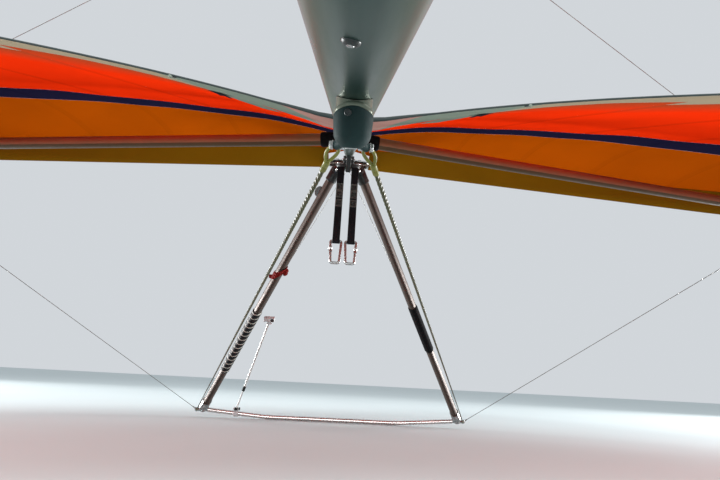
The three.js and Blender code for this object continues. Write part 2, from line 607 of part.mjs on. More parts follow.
// Carabiner: half widths at its top and bottom bars, and the height between them
const CARABINER = { top: 22, bottom: 17, height: 92, corner: 7, radius: 5.5 };
function carabinerLoop() {
  const { top, bottom, height, corner } = CARABINER;
  const corners = [[top, 0, 0], [-top, 0, 1], [-bottom, -height, 2], [bottom, -height, 3]];
  const points = [];
  for (const [x, z, turn] of corners) {
    const inX = x - Math.sign(x) * corner;
    const inZ = z === 0 ? -corner : -height + corner;
    for (const step of [0, 0.5, 1]) {
      const angle = ((turn + step) * Math.PI) / 2;
      points.push(vec(inX + corner * Math.cos(angle), 0, inZ + corner * Math.sin(angle)));
    }
  }
  return points;
}
const seat = BAND.inner - CARABINER.radius - 2 * GAP;
const carabiner = ring(carabinerLoop(), vec(0, -1, 0), CARABINER.radius)
  .translate(HANG.x, 0, -HANG.drop - seat);
const slack = BAND.inner - HANG.pinRadius - GAP;
const plumb = (geometry) =>
  geometry.translate(0, 0, -slack).rotateX(-PITCH).translate(0, HANG.y, HANG.z);
addPair("hang_loop", plumb(band), "webbing");
addPair("carabiner", plumb(carabiner), "steel");

// Camera pole: a clamp round the base bar, the pole that tilts in it, and a plain action camera
const barAt = (x) => barBend.clone().lerp(
  barTip, (x - BASE_BAR.straight) / (BASE_BAR.halfLength - BASE_BAR.straight));
const clampSeat = barAt(-POLE.x).setX(POLE.x);
const pivot = clampSeat.clone().add(vec(0, 0, 30));
const CLAMP = { bore: 14.6, radius: 19, halfWidth: 13, earX: 12, ear: 9, pin: 3 };
const clampProfile = [[CLAMP.bore, -1], [CLAMP.radius, -1], [CLAMP.radius, 1], [CLAMP.bore, 1]]
  .map(([r, end]) => new THREE.Vector2(r, end * CLAMP.halfWidth));
const clampRing = new THREE.LatheGeometry([...clampProfile, clampProfile[0].clone()], 16)
  .rotateZ(Math.PI / 2).translate(clampSeat.x, clampSeat.y, clampSeat.z);
const clampEar = (x) => join(
  box([x - 2, pivot.y - CLAMP.ear, pivot.z - 14], [x + 2, pivot.y + CLAMP.ear, pivot.z]),
  rod(vec(x - 2, pivot.y, pivot.z), vec(x + 2, pivot.y, pivot.z), CLAMP.ear, 16),
);
const acrossPivot = (half, radius, sides) =>
  rod(pivot.clone().setX(POLE.x - half), pivot.clone().setX(POLE.x + half), radius, sides);
add("pole_clamp", join(
  clampRing,
  clampEar(POLE.x - CLAMP.earX),
  clampEar(POLE.x + CLAMP.earX),
  acrossPivot(CLAMP.earX + 6, CLAMP.pin, 12),
), "steel");

const poleTop = pivot.clone().add(vec(POLE.lean, 0, POLE.rise));
const poleAt = (share) => pivot.clone().lerp(poleTop, share);
add("camera_pole", cut(join(
  acrossPivot(CLAMP.earX - 3, 8, 16),
  rod(pivot, poleAt(POLE.joint), POLE.lowerRadius, 12),
  rod(poleAt(POLE.joint - 0.025), poleAt(POLE.joint + 0.025), POLE.radius + 2.5, 12),
  rod(poleAt(POLE.joint), poleAt(1), POLE.radius, 12),
  box([poleTop.x - 16, poleTop.y - 9, poleTop.z - 12], [poleTop.x + 16, poleTop.y + 9, poleTop.z + 4]),
), acrossPivot(30, CLAMP.pin + 0.6, 12)), "aluminium");
const cameraLow = poleTop.z + 4 + GAP;
add("action_camera", box(
  [poleTop.x - CAMERA.width / 2, poleTop.y - CAMERA.depth / 2, cameraLow],
  [poleTop.x + CAMERA.width / 2, poleTop.y + CAMERA.depth / 2, cameraLow + CAMERA.height],
), "blackPlastic");

// Park the glider: pitch it nose up on its base bar and tail, and centre it over the origin.
glider.rotation.x = PITCH;
const parked = new THREE.Group();
parked.add(glider);
parked.updateMatrixWorld(true);
const extent = new THREE.Box3().setFromObject(parked, true);
const middle = extent.getCenter(vec());
glider.position.set(-middle.x, -middle.y, -extent.min.z);

export default parked;
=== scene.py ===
import json
from math import acos, atan2, cos, exp, hypot, pi, radians, sin, sqrt, tan

import bpy
from mathutils import Matrix, Vector


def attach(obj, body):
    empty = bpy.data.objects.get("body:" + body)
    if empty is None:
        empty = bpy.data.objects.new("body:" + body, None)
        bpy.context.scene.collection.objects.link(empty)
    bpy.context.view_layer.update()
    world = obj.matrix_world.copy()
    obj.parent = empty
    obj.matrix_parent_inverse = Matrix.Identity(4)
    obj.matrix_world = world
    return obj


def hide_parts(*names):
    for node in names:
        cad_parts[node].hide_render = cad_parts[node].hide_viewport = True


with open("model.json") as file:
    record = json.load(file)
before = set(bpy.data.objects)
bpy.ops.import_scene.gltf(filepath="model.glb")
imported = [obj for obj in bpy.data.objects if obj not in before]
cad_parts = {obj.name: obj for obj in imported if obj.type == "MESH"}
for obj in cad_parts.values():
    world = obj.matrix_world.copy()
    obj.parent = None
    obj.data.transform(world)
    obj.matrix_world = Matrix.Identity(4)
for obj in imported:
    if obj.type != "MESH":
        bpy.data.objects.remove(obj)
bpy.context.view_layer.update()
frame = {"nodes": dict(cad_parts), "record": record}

# The glider's own frame, in millimetres: keel along Y with its nose at 0, right wing along +X,
# +Z square to the keel. WORLD takes it to the parked pose, in metres.
PITCH = 0.5275544528337601
SHIFT = Vector((0.0, 1.635338268066122, 1.9619521336145658))
TURN = Matrix.Rotation(PITCH, 4, "X")
WORLD = Matrix.Translation(SHIFT) @ TURN @ Matrix.Scale(0.001, 4)

# Camera, from the keel's vanishing point in the photograph
WIDTH, HEIGHT, FOCAL, SENSOR = 720, 480, 400.0, 36
VANISH = (348.1, 165.0)
ROLL = radians(4.25)
EYE = Vector((-1.4, -3330, -65))


def show(name, data):
    obj = bpy.data.objects.new(name, data)
    bpy.context.scene.collection.objects.link(obj)
    return obj


def make_camera():
    keel = Vector((VANISH[0] - WIDTH / 2, VANISH[1] - HEIGHT / 2, FOCAL)).normalized()
    right = Vector((cos(ROLL), sin(ROLL), 0))
    right = (right - keel * right.dot(keel)).normalized()
    rows = [right, keel, -keel.cross(right)]
    turn = TURN.to_3x3()
    axis = [turn @ Vector([row[i] for row in rows]) for i in range(3)]
    place = Matrix((axis[0], -axis[1], -axis[2])).transposed().to_4x4()
    place.translation = WORLD @ EYE
    camera = show("view_camera", bpy.data.cameras.new("view_camera"))
    camera.matrix_world = place
    camera.data.sensor_width = SENSOR
    camera.data.lens = SENSOR * FOCAL / WIDTH
    camera.data.clip_start = 0.01
    camera.data.clip_end = 200
    bpy.context.scene.camera = camera


make_camera()


# Shapes: vertices and faces in millimetres in the glider's frame
class Shape:
    def __init__(self, verts=(), faces=(), slots=None, uvs=None):
        self.verts = [Vector(v) for v in verts]
        self.faces = [tuple(f) for f in faces]
        self.slots = list(slots) if slots else [0] * len(self.faces)
        self.uvs = list(uvs) if uvs else [(0.0, 0.0)] * len(self.verts)

    def __add__(self, other):
        n = len(self.verts)
        faces = self.faces + [tuple(i + n for i in f) for f in other.faces]
        return Shape(self.verts + other.verts, faces, self.slots + other.slots,
                     self.uvs + other.uvs)

    def moved(self, matrix):
        return Shape([matrix @ v for v in self.verts], self.faces, self.slots, self.uvs)

    def mirrored(self):
        verts = [(-v.x, v.y, v.z) for v in self.verts]
        return Shape(verts, [tuple(reversed(f)) for f in self.faces], self.slots, self.uvs)

    def dressed(self, slot):
        return Shape(self.verts, self.faces, [slot] * len(self.faces), self.uvs)

    def cap(self, first, count, flip=False):
        """A flat end on a ring of vertices."""
        ring = range(first, first + count)
        self.faces.append(tuple(reversed(ring) if flip else ring))
        self.slots.append(0)


def vec(x, y, z):
    return Vector((x, y, z))


RIGHT, AHEAD, UP = vec(1, 0, 0), vec(0, 1, 0), vec(0, 0, 1)


def mix(a, b, t):
    return a + (b - a) * t


def joined(shapes):
    whole = Shape()
    for shape in shapes:
        whole += shape
    return whole


def both(shape):
    return shape + shape.mirrored()


def around(count):
    return [2 * pi * k / count for k in range(count)]


def axes_along(direction, up=None):
    z = direction.normalized()
    up = up or (UP if abs(z.x) > 0.9 else RIGHT)
    y = (up - z * up.dot(z)).normalized()
    return Matrix((y.cross(z), y, z)).transposed()


def grid(rows, closed_rows=False, closed=False, slot_of=None):
    m, n = len(rows), len(rows[0])
    verts = [v for row in rows for v in row]
    uvs = [(j / (n - 1), i / (m - 1)) for i in range(m) for j in range(n)]
    faces, slots = [], []
    for i in range(m if closed_rows else m - 1):
        for j in range(n if closed else n - 1):
            a, b = i * n + j, i * n + (j + 1) % n
            c, d = ((i + 1) % m) * n + (j + 1) % n, ((i + 1) % m) * n + j
            faces.append((a, b, c, d))
            slots.append(slot_of(i, j) if slot_of else 0)
    return Shape(verts, faces, slots, uvs)


def lathe(profile, start, end, sides=32):
    """profile is (radius, height) from start towards end."""
    m = axes_along(end - start).to_4x4()
    m.translation = start
    shape = grid([[m @ vec(r * cos(a), r * sin(a), h) for a in around(sides)]
                  for r, h in profile], closed=True)
    if profile[0][0] > 0 and profile[0] != profile[-1]:
        shape.cap(0, sides, flip=True)
        shape.cap(len(shape.verts) - sides, sides)
    return shape


def rod(start, end, radius, sides=32, chamfer=0.8):
    length = (end - start).length
    c = min(chamfer, 0.3 * length, 0.5 * radius)
    return lathe([(radius - c, 0), (radius, c), (radius, length - c), (radius - c, length)],
                 start, end, sides)


def oval(thick, chord, count=40, tail=0.0):
    """A streamlined section: an ellipse, drawn out at the rear by tail."""
    points = []
    for a in around(count):
        y = sin(a)
        narrow = 1 - tail * max(0.0, -y) ** 1.5
        points.append((thick / 2 * cos(a) * narrow, chord / 2 * y))
    return points


def sweep(path, section, closed=False, up=None, twist=0.0, scale=None):
    """section is a list of (a, b) points across the path, turned by twist radians a millimetre."""
    count, n = len(path), len(section)
    rows, run, axes = [], 0.0, None
    for i, p in enumerate(path):
        before = path[i - 1] if i or closed else p
        after = path[(i + 1) % count] if i < count - 1 or closed else p
        ahead = (after - before).normalized()
        if axes is None:
            axes = axes_along(ahead, up)
        else:
            y = axes.col[1]
            y = (y - ahead * y.dot(ahead)).normalized()
            axes = Matrix((y.cross(ahead), y, ahead)).transposed()
            run += (p - path[i - 1]).length
        c, s = cos(twist * run), sin(twist * run)
        grow = scale(i / (count - 1)) if scale else 1.0
        rows.append([p + axes @ vec(grow * (a * c - b * s), grow * (a * s + b * c), 0)
                     for a, b in section])
    shape = grid(rows, closed_rows=closed, closed=True)
    if not closed:
        shape.cap(0, n, flip=True)
        shape.cap(len(shape.verts) - n, n)
    return shape


def circle(radius, count=16):
    return [(radius * cos(a), radius * sin(a)) for a in around(count)]


def half_turn(radius, steps):
    turns = [pi * k / steps for k in range(steps + 1)]
    return [(radius * cos(a), radius * sin(a)) for a in turns]


def cable(start, end, radius, step, sides):
    """A laid cable: a lobed section of six strands that turns along its length."""
    strands, lay = 6, 9.0
    section = []
    for a in around(sides):
        r = radius * (0.93 + 0.07 * cos(strands * a))
        section.append((r * cos(a), r * sin(a)))
    count = max(2, int((end - start).length / step))
    path = [mix(start, end, i / count) for i in range(count + 1)]
    return sweep(path, section, twist=2 * pi / (lay * 2 * radius))


def slab(outline, low, high, matrix=None):
    n = len(outline)
    verts = [vec(x, y, low) for x, y in outline] + [vec(x, y, high) for x, y in outline]
    faces = [tuple(reversed(range(n))), tuple(range(n, 2 * n))]
    faces += [(k, (k + 1) % n, n + (k + 1) % n, n + k) for k in range(n)]
    shape = Shape(verts, faces)
    return shape.moved(matrix) if matrix else shape


def upright(x, y=0, z=0):
    """Takes a slab's outline to the plane square to X, at a place."""
    return Matrix(((0, 0, 1, x), (1, 0, 0, y), (0, 1, 0, z), (0, 0, 0, 1)))


def rounded(outline, radius, steps=5):
    """The outline with each corner turned on an arc."""
    points = []
    count = len(outline)
    for k in range(count):
        p = Vector(outline[k])
        a = Vector(outline[k - 1]) - p
        b = Vector(outline[(k + 1) % count]) - p
        cut = min(radius, 0.45 * a.length, 0.45 * b.length)
        start, end = p + a.normalized() * cut, p + b.normalized() * cut
        for i in range(steps + 1):
            t = i / steps
            q = start * (1 - t) ** 2 + p * (2 * t * (1 - t)) + end * t ** 2
            points.append((q.x, q.y))
    return points


def block(x, y, z, radius=3.0, steps=4):
    """A block between two values of each of x, y and z, rounded round its upright edges."""
    corners = [(x[0], y[0]), (x[1], y[0]), (x[1], y[1]), (x[0], y[1])]
    return slab(rounded(corners, radius, steps), *z)


def about(middle, half):
    return middle - half, middle + half


def globe(centre, radius, sides=20, rings=12):
    turns = [pi * i / rings for i in range(rings + 1)]
    return lathe([(max(0.01, radius * sin(a)), -radius * cos(a)) for a in turns],
                 centre, centre + UP, sides)


def bolt(at, direction, size, grip=0.0):
    """A hexagon head on a washer at a face, and a nut with its thread end beyond the grip."""
    d = direction.normalized()
    seat = at + d * 0.18 * size
    head = [(0.8, 0), (0.88, 0.06), (0.88, 0.46), (0.74, 0.58), (0.5, 0.6), (0, 0.6)]
    nut = [(0.8, 0), (0.86, 0.08), (0.86, 0.62), (0.6, 0.75), (0.44, 0.78), (0.42, 1.1), (0, 1.12)]

    def hexagon(profile, start, way):
        return lathe([(max(0.01, r * size), h * size) for r, h in profile], start, start + way, 6)

    shape = rod(at, seat, 0.98 * size, 28, 0.3) + hexagon(head, seat, d)
    if grip:
        nut_at = at - d * grip
        nut_seat = nut_at - d * 0.16 * size
        shape += rod(nut_at, nut_seat, 0.95 * size, 28, 0.3) + hexagon(nut, nut_seat, -d)
    return shape


# Materials
class Finish:
    """A Principled material and short ways to add procedural detail to it."""

    def __init__(self, name, color, rough, metal=0.0, **fixed):
        self.m = bpy.data.materials.new(name)
        self.m.use_nodes = True
        self.tree = self.m.node_tree
        self.shader = next(n for n in self.tree.nodes if n.type == "BSDF_PRINCIPLED")
        fixed.update(Base_Color=(*color, 1), Roughness=rough, Metallic=metal)
        for key, value in fixed.items():
            self.shader.inputs[key.replace("_", " ")].default_value = value
        self.color, self.rough = color, rough
        self.height = None

    def add(self, kind, inputs=(), **props):
        """A node with its properties, and its inputs set to a value or linked to a socket."""
        node = self.tree.nodes.new(kind)
        for key, value in props.items():
            setattr(node, key, value)
        for key, value in dict(inputs).items():
            if isinstance(value, bpy.types.NodeSocket):
                self.tree.links.new(value, node.inputs[key])
            else:
                node.inputs[key].default_value = value
        return node

    def drive(self, name, socket):
        self.tree.links.new(socket, self.shader.inputs[name])
        return self

    def where(self, stretch=(1, 1, 1)):
        """The place on the object, in metres, turned so that Y runs along the keel."""
        place = self.add("ShaderNodeTexCoord").outputs["Object"]
        turned = self.add("ShaderNodeMapping", {"Vector": place, "Rotation": (-PITCH, 0, 0)})
        return self.add("ShaderNodeVectorMath", {0: turned.outputs["Vector"], 1: stretch},
                        operation="MULTIPLY").outputs["Vector"]

    def noise(self, scale, detail, stretch):
        return self.add("ShaderNodeTexNoise", {"Scale": scale, "Detail": detail,
                                               "Vector": self.where(stretch)}).outputs["Fac"]

    def ramp(self, value, stops):
        node = self.add("ShaderNodeValToRGB", {"Fac": value})
        while len(node.color_ramp.elements) < len(stops):
            node.color_ramp.elements.new(0.5)
        for element, (at, color) in zip(node.color_ramp.elements, stops):
            element.position = at
            element.color = (*color, 1)
        return node.outputs["Color"]

    def math(self, operation, *values):
        return self.add("ShaderNodeMath", enumerate(values), operation=operation).outputs["Value"]

    def part(self, axis):
        return self.add("ShaderNodeSeparateXYZ", {"Vector": self.where()}).outputs[axis]

    def mottle(self, scale, amount, stretch=(1, 1, 1)):
        """Lighter and darker patches in the base colour."""
        low = tuple(c * (1 - amount) for c in self.color)
        high = tuple(min(1.0, c * (1 + amount)) for c in self.color)
        return self.drive("Base Color", self.ramp(self.noise(scale, 4, stretch),
                                                  [(0.3, low), (0.7, high)]))

    def over(self, mask, color, strength):
        """Paint a colour over the base where the mask is 1."""
        base = self.shader.inputs["Base Color"].links[0].from_socket
        node = self.add("ShaderNodeMix", {0: self.math("MULTIPLY", mask, strength), 6: base,
                                          7: (*color, 1)}, data_type="RGBA")
        return self.drive("Base Color", node.outputs[2])

    def worn(self, scale, spread, stretch=(1, 1, 1)):
        """Roughness that varies."""
        node = self.add("ShaderNodeMapRange", {
            "Value": self.noise(scale, 4, stretch), "From Min": 0.3, "From Max": 0.7,
            "To Min": max(0.02, self.rough - spread), "To Max": min(1.0, self.rough + spread)})
        return self.drive("Roughness", node.outputs["Result"])

    def bump(self, value, distance, strength):
        inputs = {"Strength": strength, "Distance": distance, "Height": value}
        if self.height:
            inputs["Normal"] = self.height
        self.height = self.add("ShaderNodeBump", inputs).outputs["Normal"]
        return self.drive("Normal", self.height)

    def grain(self, scale, distance, strength=1.0, stretch=(1, 1, 1)):
        return self.bump(self.noise(scale, 3, stretch), distance, strength)

    def weave(self, pitch, distance, strength):
        """Two crossed sets of threads at a pitch in metres."""
        turns = 2 * pi / pitch
        across, along = (self.math("SINE", self.math("MULTIPLY", self.part(axis), turns))
                         for axis in "XY")
        return self.bump(self.math("MULTIPLY", across, along), distance, strength)

    def across(self, scale, stops):
        """A base colour that changes with the distance from the middle plane: painted reflection
        and shade across a tube.
        """
        far = self.math("MULTIPLY", self.math("ABSOLUTE", self.part("X")), scale)
        return self.drive("Base Color", self.ramp(far, stops))

    def toward_rear(self, start):
        """A mask over a panel: 0 up to a share of its depth, rising to 1 at its rear edge."""
        place = self.add("ShaderNodeUVMap", uv_map="along").outputs["UV"]
        node = self.add("ShaderNodeSeparateXYZ", {"Vector": place})
        past = self.math("SUBTRACT", node.outputs["X"], start)
        return self.math("MAXIMUM", self.math("DIVIDE", past, 1 - start), 0.0)

    def lines(self, width, first):
        """A mask: 1 on lines over the battens, on both sides of the keel, where their painted
        shadows go.
        """
        value = self.math("SUBTRACT", self.math("ABSOLUTE", self.part("X")), first)
        value = self.math("ADD", self.math("DIVIDE", value, BATTEN_PITCH / 1000), 0.5)
        off = self.math("ABSOLUTE", self.math("SUBTRACT", self.math("FRACT", value), 0.5))
        return self.math("LESS_THAN", off, width / (BATTEN_PITCH / 1000) / 2)


FIRST_BATTEN, BATTEN_PITCH = 340.0, 370.0
MAT, SLOT = {}, {}


def shade(color, share):
    return tuple(c * share for c in color)


# Tubes: key and slot, name, colour, roughness, metal
for key, name, color, rough, metal in (
        ("keel", "keel_aluminium_painted_reflection", (0.06, 0.08, 0.072), 0.34, 0.85),
        ("tube", "tube_aluminium", (0.42, 0.42, 0.39), 0.3, 0.9),
        # The crossbar's red-brown colour is a painted reflection of the sail.
        ("crossbar", "crossbar_painted_sail_reflection", (0.27, 0.10, 0.042), 0.5, 0.3),
        # Painted shade along the crossbar's lower side.
        ("crossbar_painted_shade", "crossbar_painted_shade", (0.078, 0.044, 0.013), 0.5, 0.2),
        # The downtubes' dark brown is a painted reflection of the sail.
        ("downtube", "downtube_painted_sail_reflection", (0.060, 0.041, 0.032), 0.5, 0.55),
        ("bar", "bar_aluminium", (0.62, 0.58, 0.57), 0.25, 0.9),
        ("pole", "pole_aluminium", (0.62, 0.63, 0.62), 0.35, 0.5)):
    MAT[key] = Finish(name, color, rough, metal).mottle(9, 0.06, (1, 0.2, 1))
    MAT[key].worn(60, 0.07, (1, 0.15, 1)).grain(900, 0.00004, 0.5, (1, 0.04, 1))
    SLOT[key] = "aluminium"
# Painted reflection and shade on the keel: darker along its middle, lighter towards its sides, and
# a brown reflection of the sail at its edges.
MAT["keel"].across(40, [(0.15, (0.017, 0.051, 0.041)), (0.5, (0.039, 0.073, 0.047)),
                        (0.75, (0.088, 0.125, 0.098)), (0.9, (0.085, 0.050, 0.043))])

# Moulded, plated and woven: roughness, metal, specular level, then (scale, amount) of the
# mottle and the wear and (scale, distance, strength) of the grain
for key, slot, name, color, look, mottle, worn, grain in (
        ("steel", "steel_fittings", "fitting_steel", (0.36, 0.37, 0.37), (0.28, 1.0, 0.5),
         (40, 0.1), (90, 0.1), (400, 0.00003)),
        ("dark_steel", "steel_fittings", "dark_fitting", (0.022, 0.026, 0.026), (0.36, 0.5, 0.5),
         (40, 0.2), (70, 0.12), (300, 0.00005)),
        ("plastic", "black_plastic", "moulded_black", (0.002, 0.006, 0.006), (0.42, 0, 0.25),
         (60, 0.25), (80, 0.1), (700, 0.00008)),
        ("saddle", "black_plastic", "saddle_moulding", (0.013, 0.027, 0.027), (0.6, 0, 0.08),
         (60, 0.2), (80, 0.1), (700, 0.00008)),
        ("saddle_washer", "steel_fittings", "saddle_washer", (0.10, 0.115, 0.085),
         (0.4, 0.6, 0.5), (60, 0.2), (), ()),
        ("smoke", "steel_fittings", "grey_tab", (0.16, 0.18, 0.18), (0.4, 0, 0.5),
         (40, 0.1), (60, 0.1), ()),
        ("case", "black_plastic", "pale_case", (0.52, 0.53, 0.54), (0.4, 0, 0.5),
         (40, 0.06), (60, 0.1), ()),
        ("tip_white", "black_plastic", "batten_tip", (0.17, 0.20, 0.16), (0.6, 0, 0.5),
         (60, 0.08), (80, 0.1), ()),
        ("foam", "foam_grip", "grip_foam", (0.006, 0.006, 0.007), (0.9, 0, 0.1),
         (90, 0.3), (), (500, 0.0004, 0.8)),
        ("tape", "foam_grip", "grip_wrap", (0.008, 0.008, 0.010), (0.6, 0, 0.2),
         (50, 0.3), (60, 0.15), (260, 0.0003, 0.6)),
        ("webbing", "webbing", "webbing", (0.007, 0.008, 0.011), (0.8, 0, 0.25),
         (60, 0.25), (), ()),
        ("red_strap", "webbing", "red_strap", (0.17, 0.010, 0.008), (0.8, 0, 0.1),
         (40, 0.3), (), ()),
        # Stitching; the same finish paints the highlight on the wound grip's turns.
        ("thread", "webbing", "stitching_and_grip_highlight", (0.34, 0.33, 0.29), (0.6, 0, 0.5),
         (200, 0.2), (), ()),
        ("coated", "wire", "coated_cable", (0.036, 0.036, 0.009), (0.4, 0, 0.3),
         (30, 0.15), (50, 0.1), ()),
        # The eyes and ferrules take a lighter copy of the coated cable's colour: a painted
        # highlight.
        ("coated_eye", "wire", "coated_eye", (0.13, 0.13, 0.022), (0.4, 0, 0.3),
         (40, 0.3), (50, 0.1), ()),
        ("cable", "wire", "steel_cable", (0.20, 0.20, 0.18), (0.4, 0.8, 0.5),
         (80, 0.2), (90, 0.1), ()),
        ("teal", "dark_cloth", "edge_binding", (0.010, 0.021, 0.020), (0.6, 0, 0.5),
         (30, 0.2), (), (200, 0.0002)),
        ("lens", "black_plastic", "camera_lens", (0.004, 0.005, 0.008), (0.08, 0, 0.5),
         (50, 0.1), (), ())):
    finish = Finish(name, color, look[0], look[1], Specular_IOR_Level=look[2]).mottle(*mottle)
    if worn:
        finish.worn(*worn)
    if grain:
        finish.grain(*grain)
    MAT[key], SLOT[key] = finish, slot
MAT["webbing"].weave(0.0022, 0.0005, 0.9)
MAT["red_strap"].weave(0.002, 0.0004, 0.8)
MAT["lens"].shader.inputs["Coat Weight"].default_value = 1.0

# Cloth: key and slot, name, colour, then how strongly the battens' painted shadows show on it
for key, slot, name, color, battens in (
        ("orange", "sail_orange", "sailcloth_orange", (0.42, 0.072, 0.001), 0.2),
        ("navy", "sail_navy", "sailcloth_navy", (0.012, 0.011, 0.034), 0.4),
        ("red", "sail_red", "sailcloth_vermilion", (0.80, 0.028, 0.0025), 0.4),
        ("cream", "sail_cream", "sailcloth_cream", (0.30, 0.255, 0.175), 0),
        ("root", "sail_cream", "sailcloth_root", (0.34, 0.20, 0.17), 0),
        ("batten_pocket", "sail_cream", "pocket_grey_green", (0.17, 0.215, 0.175), 0),
        ("yellow", "pocket_yellow", "pocket_yellow", (0.145, 0.066, 0.003), 0),
        ("pocket_painted_shade", "pocket_yellow", "pocket_front_painted_shade", (0.05, 0.035, 0.015), 0),
        ("dark_cloth", "dark_cloth", "dark_cloth", (0.016, 0.018, 0.022), 0)):
    finish = Finish(name, color, 0.7, 0.0, Specular_IOR_Level=0.0).mottle(3.0, 0.06)
    finish.worn(14, 0.06)
    if battens:
        # Painted shadows of the battens: a broad darker line over each, and a thin, darker line
        # along its edge
        finish.over(finish.lines(0.026, 0.34), shade(color, 0.8 if key == "navy" else 0.72),
                    battens)
        finish.over(finish.lines(0.005, 0.355), shade(color, 0.45), battens)
    finish.weave(0.0018 if key == "dark_cloth" else 0.0012, 0.0002, 0.3).grain(7, 0.004, 0.3)
    MAT[key], SLOT[key] = finish, slot
# Painted shade: the red turns darker and duller over the rear fifth of its depth, towards the hem.
MAT["red"].over(MAT["red"].toward_rear(0.8), (0.30, 0.055, 0.018), 0.9)


def piece(name, shape, finishes, nodes=(), body="airframe", slot=None, place=None, sharp=35,
          bevel=0.0):
    """A Blender object from a shape. finishes is a key of MAT, or several for its slots. The
    slot argument is not used."""
    mesh = bpy.data.meshes.new(name)
    mesh.from_pydata([tuple(v) for v in shape.verts], [], shape.faces)
    layer = mesh.uv_layers.new(name="along")
    for loop in mesh.loops:
        layer.data[loop.index].uv = shape.uvs[loop.vertex_index]
    keys = [finishes] if isinstance(finishes, str) else finishes
    for key in keys:
        mesh.materials.append(MAT[key].m)
    for poly, index in zip(mesh.polygons, shape.slots):
        poly.material_index = index
        poly.use_smooth = True
    mesh.transform(WORLD @ place if place else WORLD)
    mesh.set_sharp_from_angle(angle=radians(sharp))
    obj = show(name, mesh)
    if bevel:
        modifier = obj.modifiers.new("edge", "BEVEL")
        modifier.width = bevel / 1000
        modifier.segments = 2
        modifier.limit_method = "ANGLE"
        modifier.angle_limit = radians(30)
        modifier.harden_normals = True
    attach(obj, body)
    if nodes:
        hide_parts(nodes)
    slot or SLOT[keys[0]]
    return obj


def pair(name, shape, finishes, node="", body="", **how):
    """A piece on each wing, its side added to its name and to its node and body, where given."""
    return [(side, piece(f"{name}_{side}", form, finishes, node and f"{node}_{side}",
                         f"{body}_{side}" if body else "airframe", **how))
            for side, form in (("right", shape), ("left", shape.mirrored()))]


# Driving dimensions, as in the CAD
SWEEP, DROOP, HALF_SPAN = tan(pi / 6), 0.036, 5000.0
NOSE_Z = -(25 + 0.4 + 3 + 0.4 + 26) + DROOP * 46
CROSSBAR_Y, CROSSBAR_Z = -1600.0, 38.0
JUNCTION_X = 2370.0
CORNER = vec(776, -1130, -1568)
APEX_Y, APEX_TOP, APEX_HALF = -1450.0, -85.0, 56.0
KINGPOST_Y, KINGPOST_TOP = -1500.0, 1090.0
REAR_WIRES_Y = -3060.0
HANG = vec(0, -1572, -84)
HANG_X, HANG_DROP, HANG_WIDTH = 30.0, 330.0, 30.0
TUBE_THICK, TUBE_CHORD = 42.0, 64.0
STRAIGHT, HALF_BAR, BAR_DROP = 400.0, 742.0, 30.0
POLE_X = -575.0
KEEL_RADIUS = 25.0
KEEL_FACE = -25.4  # the height of what sits against the keel's underside
NOSE_CUT, NOSE_CUT_Y = 158.0, -168.0  # the cloth's cut round the nose plates
CLOTH_RADIUS = 36.0  # round the leading edge tube
STRIPE_GAP = 0.8  # between two panels


def leading_edge(x):
    return vec(x, -SWEEP * x, NOSE_Z - DROOP * x)


def trailing_edge(x):
    tip = max(0.0, (x - 4600) / 400)
    outboard = max(0.0, (x - 2500) / 2500)
    y = -2450 - 0.254 * x + 120 * tip * tip
    rise = 18 + 112 * (1 - exp(-x / 520)) + 0.012 * x
    return vec(x, y, rise + 14 * exp(-((x / 30) ** 2)) - 190 * outboard * outboard)


def below_tube(x):
    return 34 + 0.012 * min(x, 2000)


def wrap_point(x, angle, inside=0.0):
    """A point on the cloth round the leading edge tube, or a little inside it."""
    axis = leading_edge(x)
    height = 32 if angle > 0 else below_tube(x)
    return vec(x, axis.y + (CLOTH_RADIUS - inside) * cos(angle),
               axis.z + (height - inside) * sin(angle))


LEAVES = radians(58)


def camber(share):
    ahead = max(0.0, 0.3 - share) / 0.3
    behind = max(0.0, share - 0.3) / 0.7
    return 1 - ahead ** 2.2 - behind ** 1.08


def upper_point(x, share):
    start, end = wrap_point(x, LEAVES), trailing_edge(x)
    depth = (0.085 - 0.000005 * x) * (start.y - end.y) - 60 * exp(-((x / 300) ** 2))
    return mix(start, end, share) + UP * (depth * camber(share))


def chord_at(x):
    return wrap_point(x, LEAVES).y - trailing_edge(x).y


def pocket_seam(x):
    return (200 - 140 * min(1.0, x / 1700)) / chord_at(x)


def swell(x):
    return exp(-(((x - 1150) / 550) ** 2))


def stripe_starts(x):
    return 0.225 + 0.05 * swell(x)


def stripe_ends(x):
    return stripe_starts(x) + (150 + 90 * swell(x)) / chord_at(x)


# The hem's width along the span, with a step where two places are the same: the root patch,
# the first batten's pocket, then the hem itself
PATCH_END, POCKET_START, POCKET_END, HEM_STEP = 160, 300, 380, 700
HEM = ((0, 1600), (PATCH_END, 1600), (POCKET_START, 560), (POCKET_START, 1000),
       (POCKET_END, 1000), (POCKET_END, 300), (460, 190), (560, 145), (HEM_STEP, 150),
       (HEM_STEP, 215), (HALF_SPAN, 120))


def hem_starts(x):
    width = HEM[-1][1]
    for (x0, low), (x1, high) in zip(HEM, HEM[1:]):
        if x0 <= x < x1:
            width = low + (high - low) * (x - x0) / (x1 - x0)
    return 1 - width / chord_at(x)


# Sail: four panels of cloth on each wing, a touch proud of their battens
def cloth_point(x, share):
    """A point on the cloth, with its rise between battens and its fine unevenness."""
    between = sin(pi * (((x - FIRST_BATTEN) / BATTEN_PITCH) % 1.0)) ** 2
    fade = sin(pi * min(1.0, max(0.0, share))) ** 0.5
    ripple = sin(x * 0.021 + share * 9) * sin(share * 31 + x * 0.004)
    return upper_point(x, share) + UP * (fade * (3.0 * between + 0.5 * ripple) - 1.5)


def cloth_row(x, start, end, cells):
    return [cloth_point(x, start + (end - start) * i / cells) for i in range(cells + 1)]


def span_rows(start, end, step=34.0):
    count = max(2, int((end - start) / step))
    return [start + (end - start) * i / count for i in range(count + 1)]


def run_length(points):
    return sum((b - a).length for a, b in zip(points, points[1:]))


